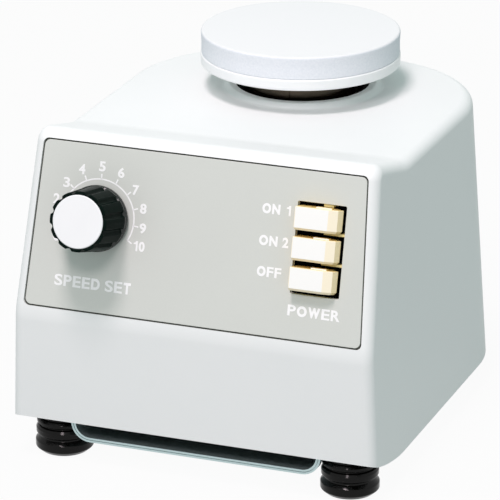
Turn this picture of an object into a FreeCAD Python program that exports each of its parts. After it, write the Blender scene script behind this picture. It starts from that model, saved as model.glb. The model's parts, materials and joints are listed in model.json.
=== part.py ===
import FreeCAD, Part
import math
import os

# A bench-top vortex mixer. Sizes are in millimetres.
# +Z is up, +X is the user's right and -Y faces the user. The rubber feet stand on Z = 0.
# The origin lies under the middle of the whole mixer.

V = FreeCAD.Vector
X_AXIS = V(1, 0, 0)
Y_AXIS = V(0, 1, 0)
Z_AXIS = V(0, 0, 1)

# Housing
WALL = 2.5
KINK_Y = -87.5
KINK_Z = 60.6
KINK_RADIUS = 25.0
FRONT_LEAN = 0.8
FRONT_EDGE_Z = 17.6
SKIRT_Z = 11.0
SKIRT_SWEEP_LENGTH = 16.3
SKIRT_SWEEP_RADIUS = 88.0
PANEL_TILT = 14.3
PANEL_LENGTH = 70.5
BROW_RADIUS = 5.0
TOP_Z = 121.0
VALLEY_RADIUS = 22.0
REAR_TOP_Y = 83.3
REAR_LEAN = 11.4
REAR_RADIUS = 54.0
EDGE_RADIUS = 5.0
SKIRT_HALF_WIDTH = 73.2
SIDE_SLOPE = 0.0365

# Control panel, in panel coordinates: x to the right, s up the slope, h out of the face
PLATE_THICKNESS = 1.0
PLATE_RECESS = 1.2
PLATE_FACE = PLATE_THICKNESS - PLATE_RECESS
PLATE_GAP = 0.5
PLATE_LOW = 3.0
PLATE_HIGH = 65.8
PLATE_LOW_HALF = 66.8
PLATE_HIGH_HALF = 63.7
PLATE_CORNER = 2.2
KNOB_X = -39.9
KNOB_S = 38.5
KNOB_HEIGHT = 19.0
KNOB_FLUTES = 12
KNOB_FLUTE_R = 1.2
CAP_R = 10.0
CAP_SEAT = 18.4
CAP_PROUD = 0.9
SHAFT_R = 3.0
SHAFT_TIP = 16.0
POT_BACK = -13.0
POT_BUSH_R = 4.6
SWITCH_X = 47.4
SWITCH_S = 37.2
SWITCH_WINDOW_WIDTH = 19.0
SWITCH_WINDOW_HEIGHT = 34.2
BUTTON_PITCH = 11.2
BUTTON_WIDTH = 17.4
BUTTON_X = 47.1
BUTTON_HEIGHT = 8.9
BUTTON_OUT = 4.3
BUTTON_TRAVEL = 4.0
STEM_SIDE = 5.0
SWITCH_FRONT = -BUTTON_OUT - BUTTON_TRAVEL - 0.3
SWITCH_EARS = (13.0, 61.4)
EAR_THICKNESS = 2.4
EAR_SCREW_R = 1.2

# Drive: the motor axis, the throw of the eccentric and the levels of the stack
MOTOR_Y = 34.5
THROW = 2.5
TOUCH_TRAVEL = 2.5
BASE_PLATE_Z = 17.0
BASE_PLATE_THICKNESS = 2.0
BASE_PLATE_TOP_Z = BASE_PLATE_Z + BASE_PLATE_THICKNESS
MOTOR_PLATE_Z = 31.0
MOTOR_PLATE_THICKNESS = 2.5
MOTOR_PLATE_TOP_Z = MOTOR_PLATE_Z + MOTOR_PLATE_THICKNESS
STATOR_Z = 46.0
STATOR_HEIGHT = 30.0
STATOR_TOP_Z = STATOR_Z + STATOR_HEIGHT
STATOR_HALF = 41.0
ROTOR_R = 18.0
MOTOR_SCREW_X = 37.0
MOTOR_SCREW_DY = 9.5
MOTOR_SCREW_R = 2.0
BRACKET_POST = 8.5
BRACKET_BAR = 4.0
UPPER_BAR_Z = STATOR_TOP_Z + BRACKET_POST
MOTOR_SHAFT_R = 4.0
BUSH_OUTER_R = 6.0
LOWER_BUSH_TOP = 8.0
UPPER_BUSH_Z = UPPER_BAR_Z - 4.0
UPPER_BUSH_TOP_Z = UPPER_BAR_Z + 6.0
RUNNING_GAP = 0.05
SCREW_GAP = 0.2
MOUNT_BOLT_R = 3.0
MOUNT_X = 40.0
REAR_MOUNT_X = 26.0
MOUNT_DY = 32.0
HUB_Z = 91.0
HUB_HEIGHT = 8.0
HUB_R = 11.0
MOTOR_SHAFT_TOP_Z = HUB_Z + HUB_HEIGHT - 1.0
CRANK_R = 5.0
INNER_RACE_R = 8.4
BEARING_Z = 102.0
BEARING_HEIGHT = 8.0
BEARING_R = 13.0
CARRIER_Z = 100.0
CARRIER_R = 17.0
CARRIER_BAR = 3.5
HEAD_SCREW_R = 2.5
HEAD_SINK_R = 5.2
HEAD_SINK = 2.6
GUIDE_X = 27.0
GUIDE_PIN_R = 3.0
GUIDE_GAP = 0.4
GUIDE_BUSH_R = 9.0
HOLE_R = 25.0
COLLAR_R = 31.0
COLLAR_HEIGHT = 2.6
NECK_R = 21.5
HEAD_Y = MOTOR_Y - THROW
HEAD_R = 39.0
HEAD_PLATE_Z = 131.6
PAD_Z = 136.0
PAD_TOP_Z = 145.0

# Underside
FOOT_X = 58.0
FOOT_Y = -71.0
REAR_FOOT_X = 48.0
REAR_FOOT_Y = 60.0
FOOT_R = 11.2
PAN_HALF_WIDTH = 50.3
PAN_FLOOR_Z = 8.7
PAN_FRONT_Y = -82.4
PAN_REAR_Y = 70.0
PAN_BEND = 7.5
PAN_SHEET = 1.8
PAN_TAB = 5.0
PAN_SCREW_R = 1.5
FOOT_SCREW_R = 1.7
FOOT_SINK = 6.0
GLAND_Z = 36.0
GLAND_R = 7.4

# Regulator board: its four edges, the level of its underside and its thickness
BOARD_X0 = -62.0
BOARD_X1 = -10.0
BOARD_Y0 = -52.0
BOARD_Y1 = -18.0
BOARD_Z = 26.0
BOARD_THICKNESS = 1.6
BOARD_TOP_Z = BOARD_Z + BOARD_THICKNESS

FEET = {
    "foot_front_left": (-FOOT_X, FOOT_Y),
    "foot_front_right": (FOOT_X, FOOT_Y),
    "foot_rear_left": (-REAR_FOOT_X, REAR_FOOT_Y),
    "foot_rear_right": (REAR_FOOT_X, REAR_FOOT_Y),
}
MOUNT_POINTS = [
    (-MOUNT_X, MOTOR_Y - MOUNT_DY),
    (MOUNT_X, MOTOR_Y - MOUNT_DY),
    (-REAR_MOUNT_X, MOTOR_Y + MOUNT_DY),
    (REAR_MOUNT_X, MOTOR_Y + MOUNT_DY),
]
MOTOR_SCREW_POINTS = [
    (x, MOTOR_Y + dy) for x in (-MOTOR_SCREW_X, MOTOR_SCREW_X) for dy in (-MOTOR_SCREW_DY, MOTOR_SCREW_DY)
]
PAN_TAB_POINTS = [(x, y) for x in (-PAN_HALF_WIDTH - PAN_TAB, PAN_HALF_WIDTH + PAN_TAB) for y in (-30, 30)]
PANEL = FreeCAD.Placement(V(0, KINK_Y, KINK_Z), FreeCAD.Rotation(X_AXIS, 90 - PANEL_TILT))


def box(x0, x1, y0, y1, z0, z1):
    return Part.makeBox(x1 - x0, y1 - y0, z1 - z0, V(x0, y0, z0))


def cylinder(r, z0, z1, x=0.0, y=0.0):
    return Part.makeCylinder(r, z1 - z0, V(x, y, z0), Z_AXIS)


def tube(r_out, r_in, z0, z1, x=0.0, y=0.0):
    return cylinder(r_out, z0, z1, x, y).cut(cylinder(r_in, z0, z1, x, y))


def join(shapes):
    return shapes[0].multiFuse(shapes[1:]).removeSplitter()


def on_panel(shape):
    return shape.transformed(PANEL.toMatrix())


def rounded_wire(corners, place):
    """A closed wire through (a, b, radius) corners, each rounded by an arc of its radius."""
    starts = []
    ends = []
    middles = []
    for index, (a, b, radius) in enumerate(corners):
        here = V(a, b, 0)
        before = corners[index - 1]
        after = corners[(index + 1) % len(corners)]
        back = V(before[0], before[1], 0) - here
        ahead = V(after[0], after[1], 0) - here
        back.normalize()
        ahead.normalize()
        half = back.getAngle(ahead) / 2
        reach = radius / math.tan(half)
        bisector = back + ahead
        bisector.normalize()
        starts.append(here + back * reach)
        ends.append(here + ahead * reach)
        middles.append(here + bisector * (radius / math.sin(half) - radius))
    edges = []
    for index, corner in enumerate(corners):
        if corner[2] > 0:
            arc = [place(p.x, p.y) for p in (starts[index], middles[index], ends[index])]
            edges.append(Part.Arc(*arc).toShape())
        start = ends[index]
        end = starts[(index + 1) % len(corners)]
        if start.distanceToPoint(end) > 1e-6:
            edges.append(Part.makeLine(place(start.x, start.y), place(end.x, end.y)))
    return Part.Wire(Part.__sortEdges__(edges))


def inset_corners(corners, inset):
    """The same outline moved inward; round corners keep their centres."""
    area = 0.0
    lines = []
    for index, (a, b, radius) in enumerate(corners):
        na, nb = corners[(index + 1) % len(corners)][:2]
        area += a * nb - na * b
        lines.append((V(a, b, 0), V(na - a, nb - b, 0).normalize()))
    turn = 1 if area > 0 else -1
    moved = []
    for index, (a, b, radius) in enumerate(corners):
        p, d = lines[index - 1]
        q, e = lines[index]
        p = p + V(-d.y, d.x, 0) * (inset * turn)
        q = q + V(-e.y, e.x, 0) * (inset * turn)
        cross = d.x * e.y - d.y * e.x
        along = ((q - p).x * e.y - (q - p).y * e.x) / cross
        point = p + d * along
        convex = cross * turn > 0
        new_radius = max(radius - inset, 0.0) if convex else radius + inset
        moved.append((point.x, point.y, new_radius if radius > 0 else 0.0))
    return moved


def slab(corners, x0, x1):
    """A side outline in Y and Z, extruded along X."""
    wire = rounded_wire(corners, lambda a, b: V(x0, a, b))
    return Part.Face(wire).extrude(V(x1 - x0, 0, 0))


def lamina(corners, h0, h1):
    """An outline in X and Y, extruded along Z."""
    wire = rounded_wire(corners, lambda a, b: V(a, b, h0))
    return Part.Face(wire).extrude(V(0, 0, h1 - h0))


def turned(profile, x=0.0, y=0.0):
    """A closed outline of (r, z, corner radius) turned about a vertical axis."""
    wire = rounded_wire(profile, lambda a, b: V(x + a, y, b))
    return Part.Face(wire).revolve(V(x, y, 0), Z_AXIS, 360)


def rectangle(cx, cy, width, height, radius=0.0):
    return [
        (cx - width / 2, cy - height / 2, radius),
        (cx + width / 2, cy - height / 2, radius),
        (cx + width / 2, cy + height / 2, radius),
        (cx - width / 2, cy + height / 2, radius),
    ]


def rear_y(z):
    """Where the outside of the rear wall lies at a level: it leans out towards the skirt."""
    return REAR_TOP_Y + REAR_LEAN * (TOP_Z - z) / (TOP_Z - SKIRT_Z)


def on_rear_wall(shape):
    """Set a shape made along +Y from the origin square on the rear wall, at the gland."""
    lean = math.degrees(math.atan2(REAR_LEAN, TOP_Z - SKIRT_Z))
    placed = shape.copy()
    placed.rotate(V(0, 0, 0), X_AXIS, lean)
    placed.translate(V(0, rear_y(GLAND_Z), GLAND_Z))
    return placed


def side_outline(cavity):
    tilt = math.radians(PANEL_TILT)
    brow_y = KINK_Y + PANEL_LENGTH * math.sin(tilt)
    brow_z = KINK_Z + PANEL_LENGTH * math.cos(tilt)
    valley_y = brow_y + (brow_z - TOP_Z) / math.tan(tilt)
    upper = [
        (KINK_Y, KINK_Z, KINK_RADIUS),
        (brow_y, brow_z, BROW_RADIUS),
        (valley_y, TOP_Z, VALLEY_RADIUS),
        (REAR_TOP_Y, TOP_Z, 0),
    ]
    front_slope = FRONT_LEAN / (KINK_Z - FRONT_EDGE_Z)
    if cavity:
        low = -SKIRT_Z
        foot = [
            (rear_y(low), low, 0),
            (KINK_Y + front_slope * (KINK_Z - low), low, 0),
        ]
        return inset_corners(upper + foot, WALL)
    front_y = KINK_Y + FRONT_LEAN
    foot = [
        (rear_y(SKIRT_Z), SKIRT_Z, 0),
        (front_y + SKIRT_SWEEP_LENGTH, SKIRT_Z, SKIRT_SWEEP_RADIUS),
        (front_y, FRONT_EDGE_Z, 0),
    ]
    return upper + foot


def half_width(z):
    """Half the width of the housing at a level: the sides lean in a little."""
    return SKIRT_HALF_WIDTH - SIDE_SLOPE * (z - SKIRT_Z)


def width_form(inset):
    """The two leaning sides, as one long block along Y."""
    low = -2 * SKIRT_Z
    high = TOP_Z + KINK_RADIUS
    start = 2 * KINK_Y
    wire = Part.makePolygon([
        V(-half_width(low) + inset, start, low),
        V(half_width(low) - inset, start, low),
        V(half_width(high) - inset, start, high),
        V(-half_width(high) + inset, start, high),
        V(-half_width(low) + inset, start, low),
    ])
    return Part.Face(wire).extrude(V(0, -2 * start, 0))


def sharp_edges(form, lowest):
    """The unrounded edges of a form whose middles lie above a level."""
    found = []
    for edge in form.Edges:
        middle = edge.valueAt((edge.FirstParameter + edge.LastParameter) / 2)
        faces = form.ancestorsOfType(edge, Part.Face)
        if middle.z < lowest or len(faces) < 2:
            continue
        normals = [face.normalAt(*face.Surface.parameter(middle)) for face in faces]
        if normals[0].getAngle(normals[1]) > math.radians(25):
            found.append(edge)
    return found


def housing_form(cavity):
    inset = WALL if cavity else 0.0
    reach = half_width(-2 * SKIRT_Z) + WALL
    form = slab(side_outline(cavity), -reach, reach).common(width_form(inset))
    upright = []
    for edge in form.Edges:
        ends = [vertex.Point for vertex in edge.Vertexes]
        if min(p.y for p in ends) > REAR_TOP_Y - EDGE_RADIUS and abs(ends[0].z - ends[1].z) > KINK_Z / 2:
            upright.append(edge)
    form = form.makeFillet(REAR_RADIUS - inset, upright)
    if cavity:
        return form
    return form.makeFillet(EDGE_RADIUS, sharp_edges(form, FRONT_EDGE_Z + EDGE_RADIUS))


def plate_outline(grow):
    return [
        (-PLATE_LOW_HALF - grow, PLATE_LOW - grow, PLATE_CORNER),
        (PLATE_LOW_HALF + grow, PLATE_LOW - grow, PLATE_CORNER),
        (PLATE_HIGH_HALF + grow, PLATE_HIGH + grow, PLATE_CORNER),
        (-PLATE_HIGH_HALF - grow, PLATE_HIGH + grow, PLATE_CORNER),
    ]


def panel_cutouts():
    window = rectangle(SWITCH_X, SWITCH_S, SWITCH_WINDOW_WIDTH, SWITCH_WINDOW_HEIGHT)
    depth = WALL * 2
    hole = cylinder(POT_BUSH_R + 0.2, -depth, depth, KNOB_X, KNOB_S)
    return lamina(window, -depth, depth).fuse(hole)


def foot_boss(x, y, outer, boss_r=5.5, height=26.0, rib_half=1.5, blind=3.0):
    """A screw boss above a foot, tied to the near side wall by a rib, and its pilot hole."""
    low = BASE_PLATE_TOP_Z
    side = math.copysign(SKIRT_HALF_WIDTH, x)
    rib = box(min(x, side), max(x, side), y - rib_half, y + rib_half, low, low + height)
    boss = join([cylinder(boss_r, low, low + height, x, y), rib.common(outer)])
    return boss, cylinder(FOOT_SCREW_R, 0, low + height - blind, x, y)


def switch_post(s, post_r=3.5):
    """A short post inside the panel wall that an ear of the switch is screwed to, and its hole."""
    post = cylinder(post_r, SWITCH_FRONT, -WALL, SWITCH_X, s)
    return post, cylinder(EAR_SCREW_R, SWITCH_FRONT, -WALL, SWITCH_X, s)


def housing():
    """Painted cast shell, open below, with the collar, panel recess and screw bosses."""
    outer = housing_form(False)
    shell = outer.cut(housing_form(True))
    collar = turned([
        (HOLE_R, TOP_Z - WALL, 0),
        (COLLAR_R, TOP_Z - WALL, 0),
        (COLLAR_R, TOP_Z, 0),
        (COLLAR_R - 1.4, TOP_Z + COLLAR_HEIGHT - 0.8, 0),
        (COLLAR_R - 2.6, TOP_Z + COLLAR_HEIGHT, 0),
        (HOLE_R + 0.8, TOP_Z + COLLAR_HEIGHT, 0),
        (HOLE_R, TOP_Z + COLLAR_HEIGHT - 0.8, 0),
    ], 0, MOTOR_Y)
    additions = [collar]
    removals = [cylinder(HOLE_R, TOP_Z - 3 * WALL, TOP_Z + 2 * WALL, 0, MOTOR_Y)]
    for x, y in FEET.values():
        boss, pilot = foot_boss(x, y, outer)
        additions.append(boss)
        removals.append(pilot)
    for s in SWITCH_EARS:
        post, pilot = switch_post(s)
        additions.append(on_panel(post))
        removals.append(on_panel(pilot))
    removals.append(on_panel(lamina(plate_outline(PLATE_GAP), -PLATE_RECESS, WALL)))
    removals.append(on_panel(panel_cutouts()))
    gland_hole = Part.makeCylinder(GLAND_R + RUNNING_GAP, 4 * WALL, V(0, -3 * WALL, 0), Y_AXIS)
    removals.append(on_rear_wall(gland_hole))
    body = shell.multiFuse(additions)
    return body.cut(removals).removeSplitter()


def control_panel():
    plate = lamina(plate_outline(0), -PLATE_RECESS, PLATE_FACE)
    return on_panel(plate.cut(panel_cutouts()))


def speed_knob(skirt_r=12.5, foot_h=1.0, skirt_h=1.2, top_r=11.3, hollow_r=9.4, hollow_h=7.0):
    """Tapered control knob with a ring of flutes, hollow below for the nut."""
    shoulder_r = skirt_r - 0.2
    shoulder_h = foot_h + skirt_h + 0.2
    body = turned([
        (0, foot_h, 0),
        (skirt_r, foot_h, 0),
        (skirt_r, foot_h + skirt_h, 0),
        (shoulder_r, shoulder_h, 0),
        (top_r, KNOB_HEIGHT, 0),
        (0, KNOB_HEIGHT, 0),
    ], KNOB_X, KNOB_S)
    lean = math.degrees(math.atan2(shoulder_r - top_r, KNOB_HEIGHT - shoulder_h))
    flutes = []
    for index in range(KNOB_FLUTES):
        flute = Part.makeCylinder(KNOB_FLUTE_R, KNOB_HEIGHT, V(0, 0, 0), Z_AXIS)
        flute.rotate(V(0, 0, 0), Y_AXIS, -lean)
        flute.translate(V(shoulder_r + KNOB_FLUTE_R / 4, 0, shoulder_h + KNOB_FLUTE_R / 4))
        flute.rotate(V(0, 0, 0), Z_AXIS, 360 * (index + 0.5) / KNOB_FLUTES)
        flute.translate(V(KNOB_X, KNOB_S, 0))
        flutes.append(flute)
    hollow = cylinder(hollow_r, 0, hollow_h, KNOB_X, KNOB_S)
    bore = cylinder(SHAFT_R, 0, SHAFT_TIP, KNOB_X, KNOB_S)
    seat = cylinder(CAP_R, CAP_SEAT, KNOB_HEIGHT + CAP_PROUD, KNOB_X, KNOB_S)
    return on_panel(body.cut(flutes + [hollow, bore, seat]))


def knob_cap(edge=0.5):
    """White disc let into the front of the knob."""
    return on_panel(turned([
        (0, CAP_SEAT, 0),
        (CAP_R, CAP_SEAT, 0),
        (CAP_R, KNOB_HEIGHT + CAP_PROUD - edge, 0),
        (CAP_R - edge, KNOB_HEIGHT + CAP_PROUD, 0),
        (0, KNOB_HEIGHT + CAP_PROUD, 0),
    ], KNOB_X, KNOB_S))


def pot_shaft():
    return on_panel(cylinder(SHAFT_R, POT_BACK + 1.5, SHAFT_TIP, KNOB_X, KNOB_S))


def potentiometer(body_r=12.0, front=-WALL - 1.0, bush_tip=3.4):
    """Round carbon-track regulator behind the panel, with its bush and tags."""
    can = cylinder(body_r, POT_BACK, front, KNOB_X, KNOB_S)
    bush = cylinder(POT_BUSH_R, front, bush_tip, KNOB_X, KNOB_S)
    tags = box(KNOB_X - 6, KNOB_X + 6, KNOB_S - body_r - 5, KNOB_S - body_r + 2, -9, -8)
    bore = cylinder(SHAFT_R + RUNNING_GAP, POT_BACK + 1.0, bush_tip, KNOB_X, KNOB_S)
    return on_panel(join([can, bush, tags]).cut(bore))


def pot_nut(flats=12.0, height=2.2):
    corners = []
    corner_r = flats / math.sqrt(3)
    for index in range(6):
        angle = math.radians(60 * index)
        corners.append((KNOB_X + corner_r * math.cos(angle), KNOB_S + corner_r * math.sin(angle), 0))
    nut = lamina(corners, PLATE_FACE, PLATE_FACE + height)
    return on_panel(nut.cut(cylinder(POT_BUSH_R, PLATE_FACE, PLATE_FACE + height, KNOB_X, KNOB_S)))


def button(s, edge=0.5, stem_length=12.0):
    """Push button whose right-hand end falls away in two facets, on a square stem."""
    left = BUTTON_X - BUTTON_WIDTH / 2
    right = BUTTON_X + BUTTON_WIDTH / 2
    low = s - BUTTON_HEIGHT / 2
    flat_end = right - 4.5
    corners = [
        (left, -BUTTON_OUT, 0),
        (right, -BUTTON_OUT, 0),
        (right, BUTTON_OUT - 4.5, 0),
        (right - 1.2, BUTTON_OUT - 1.3, 0),
        (flat_end, BUTTON_OUT, 0),
        (left, BUTTON_OUT, 0),
    ]
    wire = rounded_wire(corners, lambda a, b: V(a, low, b))
    cap = Part.Face(wire).extrude(V(0, BUTTON_HEIGHT, 0))
    rims = []
    for rim in cap.Edges:
        ends = [vertex.Point for vertex in rim.Vertexes]
        level = min(p.z for p in ends) > BUTTON_OUT - edge
        if level and abs(ends[0].x - ends[1].x) > BUTTON_HEIGHT:
            rims.append(rim)
    cap = cap.makeChamfer(edge, rims)
    half = STEM_SIDE / 2
    back = -BUTTON_OUT
    stem = box(SWITCH_X - half, SWITCH_X + half, s - half, s + half, back - stem_length, back)
    return on_panel(join([cap, stem]))


def switch_body(depth=17.0, width=23.0, height=42.0, ear_width=9.0, ear_span=57.0, guide_gap=0.4):
    """Interlocked push-button switch: a block with one guide for each stem and two ears."""
    back = SWITCH_FRONT - depth
    ear_back = SWITCH_FRONT - EAR_THICKNESS
    block = lamina(rectangle(SWITCH_X, SWITCH_S, width, height), back, SWITCH_FRONT)
    ears = lamina(rectangle(SWITCH_X, SWITCH_S, ear_width, ear_span), ear_back, SWITCH_FRONT)
    side = STEM_SIDE + 2 * guide_gap
    cuts = []
    for step in (-1, 0, 1):
        guide = rectangle(SWITCH_X, SWITCH_S + step * BUTTON_PITCH, side, side)
        cuts.append(lamina(guide, back + 3.0, SWITCH_FRONT))
    for s in SWITCH_EARS:
        cuts.append(cylinder(EAR_SCREW_R, ear_back, SWITCH_FRONT, SWITCH_X, s))
    return on_panel(join([block, ears]).cut(cuts))


def switch_screws(head_r=2.4, head_h=1.8, grip=4.6):
    ear_back = SWITCH_FRONT - EAR_THICKNESS
    screws = []
    for s in SWITCH_EARS:
        shank = cylinder(EAR_SCREW_R, ear_back, SWITCH_FRONT + grip, SWITCH_X, s)
        head = cylinder(head_r, ear_back - head_h, ear_back, SWITCH_X, s)
        screws.append(on_panel(join([shank, head])))
    return Part.makeCompound(screws)


def head_pad(edge=0.8):
    """Round cushion of dense foam rubber with a flat top and an eased upper edge."""
    return turned([
        (0, PAD_Z, 0),
        (HEAD_R, PAD_Z, 0),
        (HEAD_R, PAD_TOP_Z - edge, 0),
        (HEAD_R - edge, PAD_TOP_Z, 0),
        (0, PAD_TOP_Z, 0),
    ], 0, HEAD_Y)


def head_plate(lip=0.3, edge=0.6):
    """White platform disc with a countersink for its screw."""
    rim = HEAD_R + lip
    return turned([
        (HEAD_SCREW_R, HEAD_PLATE_Z, 0),
        (rim - edge, HEAD_PLATE_Z, 0),
        (rim, HEAD_PLATE_Z + edge, 0),
        (rim, PAD_Z - edge, 0),
        (rim - edge, PAD_Z, 0),
        (HEAD_SINK_R, PAD_Z, 0),
        (HEAD_SCREW_R, PAD_Z - HEAD_SINK, 0),
    ], 0, HEAD_Y)


def head_screw(length=10.0):
    return turned([
        (0, HEAD_PLATE_Z - length, 0),
        (HEAD_SCREW_R, HEAD_PLATE_Z - length, 0),
        (HEAD_SCREW_R, PAD_Z - HEAD_SINK, 0),
        (HEAD_SINK_R, PAD_Z, 0),
        (0, PAD_Z, 0),
    ], 0, HEAD_Y)


def head_carrier(bar_half=32.0, bar_width=14.0, bar_corner=4.0, relief=5.0, tap=12.0):
    """Turned hub over the bearing, with a cross bar that holds the two guide pins."""
    bar_top = CARRIER_Z + CARRIER_BAR
    bearing_top = BEARING_Z + BEARING_HEIGHT
    core = cylinder(CARRIER_R, CARRIER_Z, HEAD_PLATE_Z, 0, HEAD_Y)
    bar = lamina(rectangle(0, HEAD_Y, 2 * bar_half, bar_width, bar_corner), CARRIER_Z, bar_top)
    cuts = [
        cylinder(BEARING_R, CARRIER_Z, bearing_top, 0, HEAD_Y),
        cylinder(BEARING_R - 3, BEARING_Z, bearing_top + relief, 0, HEAD_Y),
        cylinder(HEAD_SCREW_R, HEAD_PLATE_Z - tap, HEAD_PLATE_Z, 0, HEAD_Y),
    ]
    for x in (-GUIDE_X, GUIDE_X):
        cuts.append(cylinder(GUIDE_PIN_R, CARRIER_Z, bar_top, x, HEAD_Y))
    return join([core, bar]).cut(cuts)


def guide_pins():
    """Pins that keep the head from turning while it is carried round."""
    low = UPPER_BAR_Z + 1.5
    high = CARRIER_Z + CARRIER_BAR
    pins = [cylinder(GUIDE_PIN_R, low, high, x, HEAD_Y) for x in (-GUIDE_X, GUIDE_X)]
    return Part.makeCompound(pins)


def neck_sleeve(low=108.0):
    """Black sleeve that fills the hole in the top and swings with the head."""
    return tube(NECK_R, CARRIER_R + RUNNING_GAP, low, HEAD_PLATE_Z, 0, HEAD_Y)


def bearing_outer(race=3.5, shield_gap=0.4, shield=0.6):
    """Outer race of the crank bearing with its two shields."""
    top = BEARING_Z + BEARING_HEIGHT
    parts = [tube(BEARING_R, BEARING_R - race, BEARING_Z, top, 0, HEAD_Y)]
    for z in (BEARING_Z + shield_gap, top - shield_gap - shield):
        parts.append(tube(BEARING_R - race, INNER_RACE_R + shield_gap, z, z + shield, 0, HEAD_Y))
    return join(parts)


def bearing_inner():
    return tube(INNER_RACE_R, CRANK_R, BEARING_Z, BEARING_Z + BEARING_HEIGHT, 0, HEAD_Y)


def eccentric_hub():
    """Hub on the motor shaft with the crank pin set off its axis by the throw."""
    hub_top = HUB_Z + HUB_HEIGHT
    hub = cylinder(HUB_R, HUB_Z, hub_top, 0, MOTOR_Y)
    pin = cylinder(CRANK_R, hub_top, BEARING_Z + BEARING_HEIGHT + 2, 0, HEAD_Y)
    shoulder = cylinder(CRANK_R + 1.5, hub_top, BEARING_Z, 0, HEAD_Y)
    bore = cylinder(MOTOR_SHAFT_R, HUB_Z, MOTOR_SHAFT_TOP_Z, 0, MOTOR_Y)
    return join([hub, pin, shoulder]).cut(bore)


def counterweight(outer_r=20.0, inset=0.5):
    """Half ring on the side of the hub away from the crank pin."""
    hub_top = HUB_Z + HUB_HEIGHT
    ring = tube(outer_r, HUB_R, HUB_Z + inset, hub_top - inset, 0, MOTOR_Y)
    return ring.common(box(-outer_r, outer_r, MOTOR_Y, MOTOR_Y + outer_r, HUB_Z, hub_top))


def motor_shaft(end_gap=2.0):
    return cylinder(MOTOR_SHAFT_R, MOTOR_PLATE_TOP_Z + end_gap, MOTOR_SHAFT_TOP_Z, 0, MOTOR_Y)


def rotor(ring=3.0):
    """Laminated rotor with its end rings, pressed on the shaft."""
    parts = [tube(ROTOR_R, MOTOR_SHAFT_R, STATOR_Z, STATOR_TOP_Z, 0, MOTOR_Y)]
    for z in (STATOR_Z - ring, STATOR_TOP_Z):
        parts.append(tube(ROTOR_R - 2, MOTOR_SHAFT_R + 3, z, z + ring, 0, MOTOR_Y))
    return join(parts)


def stator(depth=64.0, corner=6.0, air_gap=0.5):
    """Stack of stator laminations round the rotor."""
    stack = lamina(rectangle(0, MOTOR_Y, 2 * STATOR_HALF, depth, corner), STATOR_Z, STATOR_TOP_Z)
    cuts = [cylinder(ROTOR_R + air_gap, STATOR_Z, STATOR_TOP_Z, 0, MOTOR_Y)]
    for x, y in MOTOR_SCREW_POINTS:
        cuts.append(cylinder(MOTOR_SCREW_R + SCREW_GAP, STATOR_Z, STATOR_TOP_Z, x, y))
    return stack.cut(cuts)


def stator_coils(inner_r=20.0, outer_r=28.0, height=7.0, edge=2.0):
    """The winding heads that stand out of the stack above and below."""
    profile = [
        (inner_r, 0, 0),
        (outer_r, 0, 0),
        (outer_r, height - edge, 0),
        (outer_r - edge, height, 0),
        (inner_r + edge, height, 0),
        (inner_r, height - edge, 0),
    ]
    upper = turned([(r, STATOR_TOP_Z + z, c) for r, z, c in profile], 0, MOTOR_Y)
    lower = turned([(r, STATOR_Z - z, c) for r, z, c in profile], 0, MOTOR_Y)
    return Part.makeCompound([upper, lower])


def bracket(bar_z, post_z0, post_z1, boss_z0, boss_z1):
    """End bracket of the motor: a bar on two posts with a boss for the bush."""
    bar_top = bar_z + BRACKET_BAR
    bar = lamina(rectangle(0, MOTOR_Y, 2 * STATOR_HALF + 4, 28.0, 5.0), bar_z, bar_top)
    boss = cylinder(BUSH_OUTER_R + 3.5, boss_z0, boss_z1, 0, MOTOR_Y)
    parts = [bar, boss]
    cuts = [cylinder(BUSH_OUTER_R, boss_z0, boss_z1, 0, MOTOR_Y)]
    low = min(bar_z, post_z0)
    high = max(bar_top, post_z1)
    for x in (-MOTOR_SCREW_X, MOTOR_SCREW_X):
        parts.append(lamina(rectangle(x, MOTOR_Y, 8.0, 26.0, 2.0), post_z0, post_z1))
    for x, y in MOTOR_SCREW_POINTS:
        cuts.append(cylinder(MOTOR_SCREW_R + SCREW_GAP, low, high, x, y))
    return join(parts).cut(cuts)


def lower_bracket():
    low = MOTOR_PLATE_TOP_Z
    return bracket(low, low + BRACKET_BAR, STATOR_Z, low, low + LOWER_BUSH_TOP)


def upper_bracket():
    shape = bracket(UPPER_BAR_Z, STATOR_TOP_Z, UPPER_BAR_Z, UPPER_BUSH_Z, UPPER_BUSH_TOP_Z)
    top = UPPER_BAR_Z + BRACKET_BAR
    return shape.cut([cylinder(GUIDE_BUSH_R, UPPER_BAR_Z, top, x, MOTOR_Y) for x in (-GUIDE_X, GUIDE_X)])


def lower_bush():
    low = MOTOR_PLATE_TOP_Z
    return tube(BUSH_OUTER_R, MOTOR_SHAFT_R + RUNNING_GAP, low + 1.0, low + LOWER_BUSH_TOP, 0, MOTOR_Y)


def upper_bush():
    return tube(BUSH_OUTER_R, MOTOR_SHAFT_R + RUNNING_GAP, UPPER_BUSH_Z, UPPER_BUSH_TOP_Z, 0, MOTOR_Y)


def guide_bushes(height=5.5):
    """Rubber rings in the upper bracket whose holes leave the pins just their circle."""
    inner = GUIDE_PIN_R + THROW + GUIDE_GAP
    rings = []
    for x in (-GUIDE_X, GUIDE_X):
        rings.append(tube(GUIDE_BUSH_R, inner, UPPER_BAR_Z, UPPER_BAR_Z + height, x, MOTOR_Y))
    return Part.makeCompound(rings)


def motor_screws(head_r=3.8, head_h=2.0):
    """Long screws that clamp the two brackets to the stack and hold the motor to its plate."""
    top = UPPER_BAR_Z + BRACKET_BAR
    screws = []
    for x, y in MOTOR_SCREW_POINTS:
        shank = cylinder(MOTOR_SCREW_R, MOTOR_PLATE_Z, top, x, y)
        head = cylinder(head_r, top, top + head_h, x, y)
        screws.append(join([shank, head]))
    return Part.makeCompound(screws)


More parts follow.
